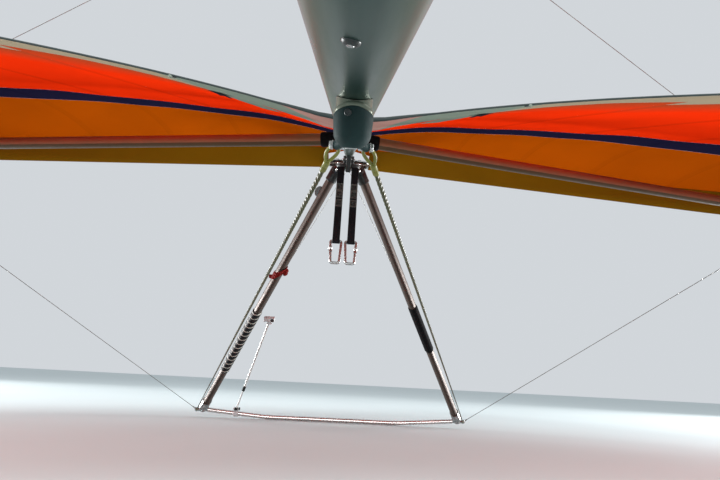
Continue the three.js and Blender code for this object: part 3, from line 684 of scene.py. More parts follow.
def sail_sheet(name, node, finish, start, end, cells, spans, wrap=(), edge_only=False):
    """One panel, from share start(x) to share end(x), over the given spans of x. Its length is
    taken along its rear edge only, where its front edge is stepped."""
    panel = Shape()
    chord = length = 0.0
    for low, high in spans:
        rows = []
        for x in span_rows(low, high):
            inside = min(max(x, low + 0.5), high - 0.5)
            rows.append([wrap_point(x, a, 1.2) for a in wrap]
                        + cloth_row(x, start(inside), end(inside), cells))
        panel += grid(rows)
        chord = max(chord, max(map(run_length, rows)))
        length += max(run_length([row[k] for row in rows])
                      for k in ((-1,) if edge_only else (0, -1)))
    for side, obj in pair(name, panel, finish, node, sharp=60):
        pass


def to_stripe(x):
    return stripe_starts(x) - STRIPE_GAP / chord_at(x)


def to_edge(x):
    return 1.0


HEM_SPANS = [(POCKET_END, HEM_STEP), (HEM_STEP, HALF_SPAN)]
sail_sheet("sail_front_cloth", "sail_front", "orange", lambda x: 0.0, to_stripe, 18,
           [(NOSE_CUT, HALF_SPAN)], wrap=(0.03, 0.2, 0.4, 0.6, 0.8, 0.96))
sail_sheet("sail_stripe_cloth", "sail_stripe", "navy", stripe_starts,
           lambda x: stripe_ends(x) - STRIPE_GAP / chord_at(x), 5, [(1, HALF_SPAN)])
sail_sheet("sail_main_cloth", "sail_main", "red", stripe_ends,
           lambda x: hem_starts(x) - STRIPE_GAP / chord_at(x), 26,
           [(1, POCKET_START), (POCKET_START, POCKET_END), *HEM_SPANS])
sail_sheet("sail_hem_cloth", "sail_hem", "cream", hem_starts, to_edge, 5, HEM_SPANS,
           edge_only=True)
sail_sheet("sail_root_patch", "", "root", hem_starts, to_edge, 20, [(1, PATCH_END)],
           edge_only=True)
sail_sheet("first_batten_pocket", "", "batten_pocket", hem_starts, to_edge, 20,
           [(PATCH_END, POCKET_START), (POCKET_START, POCKET_END)], edge_only=True)

# The trailing edge's bound cord, thicker beside the keel
edge_rows = []
for x in span_rows(1, HALF_SPAN):
    half_height = 1.9 + 4.0 * max(0.0, 1 - x / 170)
    middle = cloth_point(x, 1.0) + vec(0, -0.6, half_height - 1.6)
    edge_rows.append([middle + vec(0, 1.5 * cos(a), half_height * sin(a))
                      for a in around(14)])
pair("trailing_edge_binding", grid(edge_rows, closed=True), "teal")


# The front panel's cloth beside the nose plates, behind the cut for them
def root_row(x):
    start = max(0.0, (wrap_point(x, LEAVES).y - NOSE_CUT_Y) / chord_at(x))
    return cloth_row(x, start, to_stripe(x), 16)


root = grid([root_row(x) for x in span_rows(1, NOSE_CUT, 16)])
for side, obj in pair("sail_front_root", root, "orange", sharp=60):
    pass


# Leading edge pockets: yellow lower cloth with painted shade, a dark band, round its front
def pocket_row(x, count=16, rising=8):
    axis = leading_edge(x)
    rear = cloth_point(x, pocket_seam(x)) + vec(0, 0, -2.4)
    y, z = (rear.y - axis.y) / CLOTH_RADIUS, (rear.z - axis.z) / below_tube(x)
    leaves = atan2(z, y) + acos(min(1.0, 1 / hypot(y, z))) - 2 * pi
    row = [wrap_point(x, -0.03 + (leaves + 0.03) * i / count, 1.4) for i in range(count + 1)]
    return row + [mix(row[-1], rear, i / rising) for i in range(1, rising + 1)]


# The dark band of painted shade takes the first cells of a row. The row is cut short between two
# places, where the crossbar's bracket comes through.
SHADE_CELLS, WHOLE_ROW, SHORT_ROW = 9, 25, 14
OPENING = (JUNCTION_X - 262, JUNCTION_X + 78)
pocket = joined(grid([pocket_row(x)[:points] for x in span_rows(*ends)],
                     slot_of=lambda i, j: int(j < SHADE_CELLS))
                for *ends, points in ((NOSE_CUT, OPENING[0], WHOLE_ROW),
                                      (OPENING[1], HALF_SPAN, WHOLE_ROW), (*OPENING, SHORT_ROW)))
for side, obj in pair("leading_edge_pocket_cloth", pocket, ("yellow", "pocket_painted_shade"),
                      "leading_edge_pocket", sharp=60):
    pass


# Keel pocket: a soft sleeve of cloth from the keel up to the sail, between two shares of the
# sail's depth
SLEEVE_START, SLEEVE_END, SLEEVE_LOW = 0.705, 0.97, 26


def keel_pocket_row(i):
    share = SLEEVE_START + (SLEEVE_END - SLEEVE_START) * i / 24
    top = upper_point(0.4, share)
    high = min(top.z, upper_point(14, share).z) - 5
    half = 12.5 + 0.9 * sin(i * 1.3)
    row = []
    for j in range(19):
        t = j / 18
        lift = min(1.0, 2.2 * min(t, 1 - t))
        z = SLEEVE_LOW + (high - SLEEVE_LOW) * (1 - (1 - lift) ** 2)
        pinch = 1 - 0.18 * sin(pi * lift) * (1 + 0.3 * sin(i * 0.9 + j))
        row.append(vec(half * cos(pi * t) * (pinch if 0.02 < t < 0.98 else 1), top.y, z))
    return row


obj = piece("keel_pocket_cloth", grid([keel_pocket_row(i) for i in range(25)]), "dark_cloth",
            "keel_pocket", sharp=60)


# Floor and light
def make_floor():
    mesh = bpy.data.meshes.new("floor")
    s, z = 60, -0.001
    mesh.from_pydata([(-s, -s, z), (s, -s, z), (s, s, z), (-s, s, z)], [], [(0, 1, 2, 3)])
    mesh.materials.append(Finish("pale_floor", (0.58, 0.65, 0.66), 0.9).mottle(1.2, 0.015).m)
    show("floor", mesh)


def make_light():
    world = bpy.data.worlds.new("studio")
    world.use_nodes = True
    back = next(n for n in world.node_tree.nodes if n.type == "BACKGROUND")
    back.inputs["Color"].default_value = (0.80, 0.84, 0.88, 1)
    back.inputs["Strength"].default_value = 0.8
    bpy.context.scene.world = world
    for name, place, aim, size, power in (
            ("key", (-6, -6, 9), (0, 1, 1), 6, 260),
            ("fill", (7, -3, 6), (0, 1, 1), 6, 110),
            ("rear", (0, -6.5, 0.9), (0, 0.5, 2.1), 5, 170),
            ("low left", (-9.5, 5, 0.9), (0, 0.5, 2.2), 3, 520),
            ("low right", (9.5, 5, 0.9), (0, 0.5, 2.2), 3, 520)):
        lamp = show(name, bpy.data.lights.new(name, "AREA"))
        lamp.data.size = size
        lamp.data.spread = radians(90)
        lamp.data.energy = power
        lamp.location = place
        lamp.rotation_euler = (Vector(aim) - Vector(place)).to_track_quat("-Z", "Y").to_euler()


make_floor()
make_light()
bpy.context.scene.view_settings.view_transform = "Standard"


# Keel: the tube, its upper wire lugs and the rivets along its underside
def rivet(y, angle):
    out = vec(sin(angle), 0, -cos(angle))
    at = vec(0, y, 0) + out * (KEEL_RADIUS - 0.3)
    ring = lathe([(3.6, 0), (3.456, 0.5), (2.52, 1.5), (1.8, 1.7)], at, at + out, 20)
    return ring + lathe([(1.512, 1.5), (1.44, 1.8), (0.72, 2.1), (0.01, 2.15)],
                        at, at + out, 16).dressed(1)


def tang(centre):
    """Two plates from the keel's top up to round eyes, with the pin through them."""
    outline = [(centre.y + y, centre.z + z) for y, z in half_turn(8.5, 16)]
    outline += [(centre.y - 9, 24), (centre.y + 9, 24)]
    plates = joined(slab(outline, -1.2, 1.2, upright(x)) for x in (-3.6, 3.6))
    pin = rod(centre - RIGHT * 7, centre + RIGHT * 7, 2.6, 20, 0.5)
    return plates + pin + bolt(centre + RIGHT * 6.5, RIGHT, 4.5, 13.0)


NOSE_LUG, TAIL_LUG = vec(0, 10, 39), vec(0, REAR_WIRES_Y, 39)
keel = lathe([(22.4, 0.6), (24.4, 0), (KEEL_RADIUS, 0.7), (KEEL_RADIUS, 3879.3), (24.4, 3880),
              (22.4, 3879.6)], vec(0, -3840, 0), vec(0, 40, 0), 96)
piece("keel_tube_round", keel, "keel", "keel_tube")
piece("keel_wire_lugs", tang(NOSE_LUG) + tang(TAIL_LUG), "steel", bevel=0.4)
rivets = ((-3187, -0.128), (-2990, 0.35), (-2990, -0.35), (-2700, 0.0), (-3560, 0.0),
          (-1760, 0.5), (-1760, -0.5), (-1260, 0.5), (-1260, -0.5), (-180, 0.0))
piece("keel_rivets", joined(rivet(*place) for place in rivets), ("dark_steel", "steel"))
collar = lathe([(25.2, 0), (26.6, 0.4), (26.8, 4), (26.8, 26), (26.6, 29.6), (25.2, 30)],
               vec(0, -2500, 0), vec(0, -2470, 0), 64)
piece("keel_pocket_collar", collar, "webbing", slot="dark_cloth")
cap = [(0.01, 0), (20, 0), (25, 0), (27, 1), (28, 3), (28, 16), (27.2, 17), (27.2, 20), (28, 21),
       (28, 26), (27.2, 27), (27.2, 30), (28, 31), (28, 51), (27.4, 52), (25.5, 52)]
piece("keel_tail_cap_moulded", lathe(cap, vec(0, -3852, 0), vec(0, -3800, 0), 64), "plastic",
      "keel_tail_cap")

# Nose plates
NOSE_LOW = leading_edge(150).z - 26 - 0.4
half = [(45, 30), (150, -75), (120, -150)]
plate_outline = rounded(half + [(-x, y) for x, y in reversed(half)], 16, 6)
nose = slab(plate_outline, KEEL_FACE - 3, KEEL_FACE) + slab(plate_outline, NOSE_LOW - 3, NOSE_LOW)
nose_bolts = Shape()
for y in (12, -60, -125):
    nose_bolts += rod(vec(0, y, -27), vec(0, y, NOSE_LOW - 1), 4, 20)
    nose_bolts += bolt(vec(0, y, NOSE_LOW - 3), -UP, 7)
for x, y in ((-95, -85), (95, -85), (-82, -118), (82, -118)):
    nose_bolts += bolt(vec(x, y, NOSE_LOW - 3), -UP, 6) + bolt(vec(x, y, KEEL_FACE), UP, 6)
FRONT_LUG = vec(0, -60, NOSE_LOW - 11)
piece("nose_plates_cut", nose, "tube", "nose_plates", slot="steel_fittings", bevel=0.6)
piece("nose_bolts", nose_bolts + globe(FRONT_LUG, 8.5, 28, 18), "steel")

# Leading edge tubes: an inner tube, and a thinner outer tube with a plug in its end
le_tube = rod(leading_edge(46), leading_edge(3300), 26, 48, 1.0)
le_tube += rod(leading_edge(3290), leading_edge(HALF_SPAN - 30), 23, 48, 1.0)
pair("leading_edge_tube_round", le_tube, "tube", "leading_edge_tube")
plug_ends = leading_edge(HALF_SPAN - 29.5), leading_edge(HALF_SPAN + 5)
plug_length = (plug_ends[1] - plug_ends[0]).length
plug = lathe([(21, 0), (25, 0.6), (25, 10), (24.2, 11), (24.2, 13), (25, 14), (24.2, 25),
              (22.4, plug_length - 1.5), (20, plug_length), (0.01, plug_length)], *plug_ends, 48)
pair("leading_edge_end_plug_moulded", plug, "plastic", "leading_edge_end_plug")

# Crossbar, its pads, centre strap and brackets
junction = leading_edge(JUNCTION_X)
CROSSBAR_LINE = vec(0, CROSSBAR_Y, CROSSBAR_Z + 3.5), junction - UP * 9.5


def crossbar_at(x):
    return mix(*CROSSBAR_LINE, x / JUNCTION_X)


inner, outer = crossbar_at(57), crossbar_at(JUNCTION_X - 105)
bar = rod(inner, outer, 25, 64, 1.2)
# Painted shade: the darker finish goes on the faces this far below the bar's axis
SHADE_BELOW = -8
for n, face in enumerate(bar.faces):
    lowest = min(bar.verts[k].z - crossbar_at(bar.verts[k].x).z for k in face)
    bar.slots[n] = int(len(face) == 4 and lowest < SHADE_BELOW)
pair("crossbar_round", bar, ("crossbar", "crossbar_painted_shade"), "crossbar")
pad_start = crossbar_at(62)
pad_way = (outer - pad_start).normalized()
pad = lathe([(25.3, 0), (29, 0.5), (31.2, 4), (31.4, 11), (30.7, 19), (31.4, 28), (31.2, 38),
             (31.5, 47), (31, 54), (29, 59.5), (25.3, 60)],
            pad_start, pad_start + pad_way, 48)
pair("crossbar_pad_foam", pad, "foam", "crossbar_pad")

strap_y, strap_low = about(CROSSBAR_Y, 20), CROSSBAR_Z + 29.5
strap = block((-60, 60), strap_y, (strap_low, strap_low + 5), 8)
strap += block((-14, 14), strap_y, (-KEEL_FACE, strap_low + 1), 3)
strap += both(block((34, 53.8), strap_y, (inner.z - 23, strap_low + 1), 4))
piece("crossbar_centre_plate", strap, "steel", "crossbar_centre_strap", bevel=0.8)
centre_bolts = joined(bolt(vec(44, CROSSBAR_Y + y, CROSSBAR_Z), AHEAD * y, 8) for y in (-20, 20))
piece("crossbar_centre_bolts", both(centre_bolts), "steel")

outline = rounded([(junction.x + x, junction.y + y) for x, y in (
    (45, -29), (-70, 37), (-165, 37), (-165, -42), (10, -62))], 14, 5)
over, under = UP * 33, UP * -32.6
bracket = slab(outline, junction.z + 28.9, junction.z + over.z)
bracket += slab(outline, junction.z + under.z, junction.z - 27.9)
main_bolt = junction + vec(-85, -10, 0)
UPPER_SIDE_LUG = main_bolt + UP * 99
LOWER_SIDE_LUG = junction + vec(-60, -10, -40)
bracket_bolts = rod(main_bolt - UP * 35, UPPER_SIDE_LUG, 5.5, 24)
bracket_bolts += bolt(main_bolt + under, -UP, 8)
bracket_bolts += globe(UPPER_SIDE_LUG, 8.6, 28, 18) + globe(LOWER_SIDE_LUG, 8.6, 28, 18)
for x, y in ((-150, -2), (-12, -22), (-30, -8)):
    at = junction + vec(x, y, 0)
    bracket_bolts += bolt(at + over, UP, 6) + bolt(at + under, -UP, 6)
pair("crossbar_bracket_plates", bracket, "steel", "crossbar_bracket", bevel=0.6)
pair("crossbar_bracket_bolts", bracket_bolts, "steel")

# Kingpost and its foot
foot = block((-20, 20), about(KINGPOST_Y, 34), (-KEEL_FACE, 42), 6)
foot += block((-13, 13), about(KINGPOST_Y, 22), (40, 49.6), 8)
piece("kingpost_foot_cast", foot, "steel", "kingpost_foot", bevel=1.2)
CROWN = vec(0, KINGPOST_Y, KINGPOST_TOP + 31)


def post_part(heights, thick, chord):
    return sweep([vec(0, KINGPOST_Y, z) for z in heights], oval(thick, chord, 48), up=AHEAD)


piece("kingpost_streamlined", post_part((50, 51, KINGPOST_TOP - 1, KINGPOST_TOP), 28, 48), "tube",
      "kingpost")
top_plug = post_part((KINGPOST_TOP - 24, KINGPOST_TOP + 0.2, KINGPOST_TOP + 3), 29.4, 49.4)
piece("kingpost_top_plug", top_plug, "plastic", bevel=1.0)
crown_lug = rod(vec(0, KINGPOST_Y, KINGPOST_TOP), CROWN, 4.6, 24) + globe(CROWN, 9.6, 28, 18)
piece("kingpost_crown", crown_lug, "steel")

# Control frame
tube_top = vec(APEX_HALF, APEX_Y, APEX_TOP - 12)
tube_bottom = vec(CORNER.x - 12, CORNER.y, CORNER.z + 24)
TUBE_LENGTH = (tube_bottom - tube_top).length
TUBE_TURN = axes_along(tube_bottom - tube_top, AHEAD)


def along(distance, x=0.0, y=0.0):
    """A point on a downtube's axis, or beside it across and along its chord."""
    return mix(tube_top, tube_bottom, distance / TUBE_LENGTH) + TUBE_TURN @ vec(x, y, 0)


def tube_ring(distance, grow=0.0):
    return [along(distance, a, b) for a, b in oval(TUBE_THICK + grow, TUBE_CHORD + grow, 56)]


def oval_run(start, end, grow=0.0, tail=0.0, ends=1.0):
    a, b = along(start), along(end)
    way = (b - a).normalized()
    return sweep([a, a + way * ends, b - way * ends, b],
                 oval(TUBE_THICK + grow, TUBE_CHORD + grow, 56, tail), up=AHEAD,
                 scale=lambda t: 1 - (0.06 if t in (0, 1) else 0))


pair("downtube_streamlined", oval_run(0, TUBE_LENGTH, tail=0.25), "downtube", "downtube")


def socket(start, end, wall=9):
    """A sleeve round a downtube with a rim at its open end."""
    return grid([tube_ring(d, grow) for d, grow in (
        (start, 0), (start, wall - 1), (start + 1.2, wall), (end - 6, wall),
        (end - 5, wall + 1.4), (end - 1, wall + 1.4), (end, wall + 0.6), (end, 0.9))],
        closed=True)


channel = block((-24, 24), about(APEX_Y, 60), (-60, KEEL_FACE), 8)
disc = lathe([(30, 0), (54, 1.5), (59, 5), (60, 9), (60, 26), (59, 30), (54, 32.4), (46, 33),
              (44, 31.5), (0.01, 31.5)], vec(0, APEX_Y, -52), vec(0, APEX_Y, -53), 72)
piece("apex_bracket_cast", channel + disc + both(socket(-1, 50) + oval_run(-14, -0.4, 9)),
      "dark_steel", "apex_bracket", bevel=0.8)
apex_bolts = bolt(vec(0, APEX_Y - 60, -43), -AHEAD, 8)
for height in (-58.5, -80.5):
    rim = [vec(x, APEX_Y + y, height) for x, y in circle(60.2, 72)]
    apex_bolts += sweep(rim, circle(1.5, 12), closed=True, up=UP)
apex_bolts += bolt(vec(0, APEX_Y, -83.5), -UP, 12)
apex_bolts += both(joined(bolt(vec(24, APEX_Y + y, -42), RIGHT, 6) for y in (-38, 38)))
for d in (16, 36):
    apex_bolts += both(bolt(along(d) - AHEAD * 36.5, -AHEAD, 5.5)).dressed(1)
piece("apex_bolts_and_rim", apex_bolts, ("steel", "dark_steel"))


# Grips: a wound sleeve on the left, a plain foam sleeve on the right
def grip(start, end, wall, pitch=0.0, rise=0.0):
    """A sleeve of foam, or one wound with a tape that overlaps at a pitch, with a painted highlight
    in a pale band along the edge of each turn."""
    section = oval(TUBE_THICK, TUBE_CHORD, 56)
    count = int((end - start) / (2.0 if pitch else 8))

    def turn_at(d, k):
        return (d / pitch + k / len(section)) % 1.0

    def highlight_shows(i, j):
        return int(bool(pitch) and turn_at(start + (end - start) * i / count, j) < 0.17)

    rows = [tube_ring(start)]
    for i in range(count + 1):
        d = start + (end - start) * i / count
        edge = min(1.0, min(d - start, end - d) / 6)
        row = []
        for k, (a, b) in enumerate(section):
            lift = wall / 2 * sqrt(max(0.0, 1 - (1 - edge) ** 2)) + 0.4
            if pitch:
                lift += rise * edge * sin(pi * turn_at(d, k)) ** 0.5
            else:
                lift += 0.35 * sin(d * 0.31 + k * 0.7) * sin(d * 0.083)
            grow = 1 + lift / hypot(a, b)
            row.append(along(d, a * grow, b * grow))
        rows.append(row)
    return grid(rows + [tube_ring(end)], closed=True, slot_of=highlight_shows)


left_grip = grip(0.53 * TUBE_LENGTH, 0.806 * TUBE_LENGTH, 5.5, 31, 1.6).mirrored()
right_grip = grip(0.473 * TUBE_LENGTH, 0.66 * TUBE_LENGTH, 7.4)
# The thread finish paints the highlight along each turn of the wound grip.
piece("downtube_grip_wound_left", left_grip, ("tape", "thread"),
                       "downtube_grip_left")
piece("downtube_grip_foam_right", right_grip, "foam", "downtube_grip_right")


# Base bar: straight in the middle, rising to each end
def bar_point(x):
    past, slope = abs(x) - STRAIGHT, BAR_DROP / (HALF_BAR - STRAIGHT)
    t = (past + 40) / 80
    rise = slope * (past if t >= 1 else 40 * max(0.0, t) ** 2)
    return vec(x, CORNER.y, CORNER.z - BAR_DROP + rise)


base_bar = sweep([bar_point(HALF_BAR * (i / 45 - 1)) for i in range(91)], circle(12.5, 40))
piece("base_bar_bent", base_bar, "bar", "base_bar")

# Corner fittings: a socket for the downtube, an end for the base bar and a lug for the wires
LUG = vec(CORNER.x + 34, CORNER.y, CORNER.z)
bar_end = vec(HALF_BAR, CORNER.y, CORNER.z)
reach = (LUG - bar_end).length
corner = socket(TUBE_LENGTH - 50, TUBE_LENGTH + 1)
corner += oval_run(TUBE_LENGTH + 0.4, TUBE_LENGTH + 14, 9, ends=2.0)
corner += lathe([(6, 0), (9, 0.4), (9.5, 2), (9.5, reach - 8), (8.5, reach)],
                bar_end + RIGHT * 1.6, LUG, 32) + globe(LUG, 11.6, 32, 20)
pair("corner_fitting_cast", corner, "steel", "corner_fitting")
corner_bolts = joined(bolt(along(TUBE_LENGTH - 22) + AHEAD * y, AHEAD * y, 6)
                      for y in (-36.5, 36.5))
pair("corner_fitting_bolts", corner_bolts, "steel")


# Rear wires' saddle: a bright saddle washer against the keel, a moulded cup with an arched top
# under it, a cross bolt and an arm with a lug on each side
def cup_ring(radius, height):
    """height is a function of x, across the keel."""
    return [vec(x, REAR_WIRES_Y + y, height(x)) for x, y in circle(radius, 72)]


def arched(radius, drop):
    return cup_ring(radius, lambda x: -26.2 - 4.6 * (x / 13.2) ** 2 - drop)


saddle = grid([cup_ring(r, lambda x: z) for r, z in (
    (4.0, -54), (6.0, -54), (7.2, -53.4), (9.8, -51.2), (11.6, -48.6), (12.3, -46.5),
    (12.8, -40), (13.1, -36))] + [arched(13.2, 3.4), arched(12.9, 2.7), arched(11.6, 2.7)],
    closed=True)
saddle.cap(0, 72, flip=True)
REAR_LUG = vec(11, REAR_WIRES_Y + 20, -52)
arm_start = vec(0, REAR_WIRES_Y + 4, -47)
arm = sweep([arm_start, mix(arm_start, REAR_LUG, 0.6), REAR_LUG], circle(3.4, 24))
piece("rear_wire_saddle_moulded", saddle + both(arm), "saddle", "rear_wire_saddle", sharp=28)
washer = grid([arched(*ring) for ring in ((12.2, 2.8), (12.9, 2.5), (13.1, 2.1), (13.1, 0.2),
                                          (12.8, -0.3), (11.8, -0.5))]
              + [cup_ring(11.8, lambda x: -sqrt(KEEL_FACE ** 2 - x * x))], closed=True)
face = vec(-3.6, REAR_WIRES_Y - 12.5, -33)
saddle_bolt = lathe([(2.3, 0), (2.3, 0.5), (2.0, 0.9), (1.5, 0.9), (1.3, 0.5), (0.01, 0.5)],
                    face, face - vec(0.28, 1, 0), 32)
piece("rear_wire_saddle_washer", washer, "saddle_washer")
piece("rear_wire_saddle_bolt", saddle_bolt, "dark_steel")
slot_path = [vec(3.6 * cos(a), REAR_WIRES_Y + 2.2 * sin(a) - 1, -54.1)
             for a in around(28)]
saddle_steel = both(bolt(REAR_LUG + RIGHT * 2, RIGHT, 3.6, 5.0))
saddle_steel += sweep(slot_path, circle(0.45, 8), closed=True, up=UP)
piece("rear_wire_saddle_steel", saddle_steel, "steel")


# Wires: laid cable with an eye at each end, closed by a pressed ferrule. The ferrule's outline
# is (distance along the wire, share of its full size). Lugs are given with their radius.
FERRULE = ((0, 0.8), (0.8, 0.98), (1.2, 1), (6, 1), (6.4, 0.9), (7, 0.9), (7.4, 1), (12.2, 1),
           (13, 0.8))


def eye_end(lug, way, lug_radius, radius, side=None, slim=False):
    """The cable's loop round the lug, the ferrule that closes it, and the cable's end in it."""
    loop, strand, press = (19.0, 0.66, 0.62) if slim else (16.0, 0.92, 1.0)
    side = side or axes_along(way, RIGHT).col[0]
    start = lug + way * (lug_radius * 0.2)
    width = lug_radius * 0.55 + radius
    outline = []
    for a in around(28):
        ahead = (1 - cos(a)) / 2
        spread = sin(a) * width * (1 - ahead ** 1.6 * 0.55)
        outline.append(start + way * (loop * ahead - lug_radius * 0.1) + side * spread)
    eye = sweep(outline, circle(radius * strand, 14), closed=True, up=way.cross(side))
    at = start + way * (loop - 1)
    ferrule = sweep([at + way * d for d, _ in FERRULE],
                    oval(press * radius * 3.4, press * radius * 4.2, 28), up=side,
                    scale=lambda t: FERRULE[round(t * 8)][1])
    return eye, ferrule, at + way * 6


def stay(make, node, a, a_radius, b, b_radius, radius, coated=False):
    """A wire from lug a to lug b. A coated one has a slim eye at a, spread across the keel."""
    way = (b - a).normalized()
    eye_a, ferrule_a, start = eye_end(a, way, a_radius, radius, RIGHT if coated else None, coated)
    eye_b, ferrule_b, end = eye_end(b, -way, b_radius, radius)
    eyes, ferrules = eye_a + eye_b, ferrule_a + ferrule_b
    if coated:
        rope = cable(start, end, radius, 3.0, 18)
        make(node + "_cable", rope + (eyes + ferrules).dressed(1), ("coated", "coated_eye"), node)
    else:
        rope = cable(start, end, radius, 9.0, 12)
        make(node + "_cable", rope + eyes + ferrules.dressed(1), ("cable", "steel"), node)


stay(pair, "rear_wire", REAR_LUG, 5, LUG, 12, 2.0, coated=True)
stay(pair, "front_wire", LUG, 12, FRONT_LUG, 9, 1.8)
stay(pair, "lower_side_wire", LUG, 12, LOWER_SIDE_LUG, 9, 1.8)
stay(pair, "upper_side_wire", CROWN, 10, UPPER_SIDE_LUG, 9, 1.6)
stay(piece, "upper_front_wire", CROWN, 10, NOSE_LUG, 9, 1.6)
stay(piece, "upper_rear_wire", CROWN, 10, TAIL_LUG, 9, 1.6)

# Hang bracket and the pin across it
bracket_block = block((-10, 10), about(HANG.y, 26), (HANG.z - 12, KEEL_FACE), 5)
piece("hang_bracket_block", bracket_block, "dark_steel", "hang_bracket", bevel=1.0)
pin_reach = RIGHT * (HANG_X + HANG_WIDTH / 2 + 3)
pin = rod(HANG - pin_reach, HANG + pin_reach, 6, 32)
pin += both(lathe([(5, -1), (11, -1), (12, -0.2), (12, 3.2), (11, 4), (0.01, 4)],
                  HANG + pin_reach, HANG + pin_reach + RIGHT, 32))
pin += both(lathe([(6, 0), (9, 0), (9, 2), (6, 2)], HANG + RIGHT * 10, HANG + RIGHT * 11, 28))
pin += joined(both(bolt(vec(10, HANG.y + y, -40), RIGHT, 4.5)) for y in (-18, 18))
piece("hang_pin", pin, "steel")

# Hang loops: webbing that hangs plumb from the pin, with its sewn overlap, and a carabiner each
PLUMB = (Matrix.Translation(HANG) @ Matrix.Rotation(-PITCH, 4, "X")
         @ Matrix.Translation((0, 0, -0.6)))


def stadium(radius, drop, steps=14, straight=12):
    turn = half_turn(radius, steps)
    points = turn + [(-radius, -drop * i / straight) for i in range(1, straight)]
    points += [(-y, -drop - z) for y, z in turn]
    points += [(radius, drop * i / straight - drop) for i in range(1, straight)]
    return [vec(HANG_X, y, z) for y, z in points]


def tape_section(half_thick, half_width, lip=0.8):
    points = []
    for x, y, quarter in ((1, 1, 0), (-1, 1, 1), (-1, -1, 2), (1, -1, 3)):
        for k in range(5):
            a = pi / 2 * (quarter + k / 4)
            points.append((x * (half_thick - lip) + lip * cos(a),
                           y * (half_width - lip) + lip * sin(a)))
    return points


def zigzag(y, top, low, steps=9, half=11.5):
    points = [vec(HANG_X + (half if i % 2 else -half), y, top + (low - top) * i / steps)
              for i in range(steps + 1)]
    return sweep(points, circle(0.55, 6), up=AHEAD)


def seam_box(y, top, low, half=12.0):
    corners = [vec(HANG_X + x, y, z)
               for x, z in ((-half, top), (half, top), (half, low), (-half, low))]
    points = [mix(a, b, t) for a, b in zip(corners, corners[1:] + corners[:1])
              for t in (0.02, 0.5, 0.98)]
    return sweep(points, circle(0.5, 6), closed=True, up=AHEAD)


loop = sweep(stadium(9, HANG_DROP), tape_section(1.9, HANG_WIDTH / 2), closed=True, up=RIGHT)
overlap = [vec(HANG_X, y, z) for y, z in ((-11.3, -70), (-11.5, -74), (-11.5, -186), (-11.3, -190))]
loop += sweep(overlap, tape_section(0.7, HANG_WIDTH / 2 - 1, 0.5), up=RIGHT)
stitches = joined(seam_box(y, top, top - 30) + zigzag(y, top - 2, top - 28)
                  for y in (-12.3, 11.0) for top in (-76, -110, -150))
pair("hang_loop_webbing", loop, "webbing", "hang_loop", "hang_loop", place=PLUMB)
pair("hang_loop_stitches", stitches, "thread", body="hang_loop", place=PLUMB)

ring_path = [vec(x, 0, z) for x, z in rounded([(22, 0), (-22, 0), (-17, -92), (17, -92)], 9, 12)]
ring = sweep(ring_path, circle(5.4, 28), closed=True, up=AHEAD)
gate_top, gate_low = vec(20.9, 0, -20), vec(17.9, 0, -76)
gate_way = (gate_low - gate_top).normalized()
ring += lathe([(5.4, -0.5), (6.3, 0), (6.9, 0.8), (6.9, 9), (6.4, 9.8), (6.4, 11), (6.9, 11.8),
               (6.9, 21), (6.3, 21.8), (5.4, 22.3)], gate_top + gate_way * 6, gate_low, 36)
ring += rod(gate_low - AHEAD * 5.2, gate_low + AHEAD * 5.2, 3.2, 20, 0.4)
ring += lathe([(5.41, 0), (5.9, 0.3), (5.9, 2.2), (5.41, 2.5)], gate_top, gate_low, 28)
ring = ring.moved(Matrix.Translation((HANG_X, 0, -HANG_DROP - 0.7)))
pair("carabiner_ring", ring, "steel", "carabiner", "hang_loop", place=PLUMB)

# Camera pole: the clamp on the base bar, the tilting pole and a plain action camera
clamp_seat = bar_point(POLE_X)
PIVOT = clamp_seat + UP * 30
clamp = lathe([(14.6, -13), (18.2, -13), (19, -12.2), (19, -5), (18.2, -4.2), (18.2, 4.2),
               (19, 5), (19, 12.2), (18.2, 13), (14.6, 13), (14.6, -13)],
              clamp_seat, clamp_seat + RIGHT, 48)
ear = [(-9, -14), (9, -14)] + half_turn(9, 20)
clamp += joined(slab(ear, -2, 2, upright(PIVOT.x + x, PIVOT.y, PIVOT.z)) for x in (-12, 12))
screw = rod(PIVOT - RIGHT * 18, PIVOT + RIGHT * 14.5, 3, 24, 0.4)
screw += bolt(PIVOT - RIGHT * 14, -RIGHT, 5)
knob = lathe([(4, 14.1), (7.5, 14.1), (8.5, 15), (8.5, 20.6), (7.6, 21.6), (0.01, 21.8)],
             PIVOT, PIVOT + RIGHT, 24)
piece("pole_clamp_body", clamp, "case", "pole_clamp", slot="steel_fittings", bevel=0.5)
piece("pole_clamp_screw", screw, "steel")
piece("pole_clamp_knob", knob, "plastic")

POLE_TOP = PIVOT + vec(180, 0, 565)
pole_way, pole_length = (POLE_TOP - PIVOT).normalized(), (POLE_TOP - PIVOT).length
upper_start = mix(PIVOT, POLE_TOP, 0.24)
pole = rod(PIVOT + pole_way * 7, upper_start, 5, 28, 0.4)
pole += rod(upper_start, POLE_TOP - pole_way * 6, 6.5, 32, 0.4)
joints = lathe([(3.6, -9), (7.6, -9), (8, -8.6), (8, 8.6), (7.6, 9), (3.6, 9), (3.6, -9)],
               PIVOT, PIVOT + RIGHT, 32)
joints += lathe([(radius, share * pole_length) for radius, share in (
    (6.6, 0.212), (8.4, 0.214), (9, 0.218), (9, 0.236), (8.2, 0.238), (8.2, 0.242), (9, 0.244),
    (9, 0.262), (8.4, 0.266), (6.6, 0.268))], PIVOT, POLE_TOP, 32)
head = block(about(POLE_TOP.x, 16), about(POLE_TOP.y, 9), (POLE_TOP.z - 12, POLE_TOP.z + 4), 5)
piece("camera_pole_tube", pole, "pole", "camera_pole", "camera_pole")
piece("camera_pole_joints", joints, "plastic", body="camera_pole", bevel=0.8)
piece("camera_pole_head", head, "case", body="camera_pole", bevel=1.0)

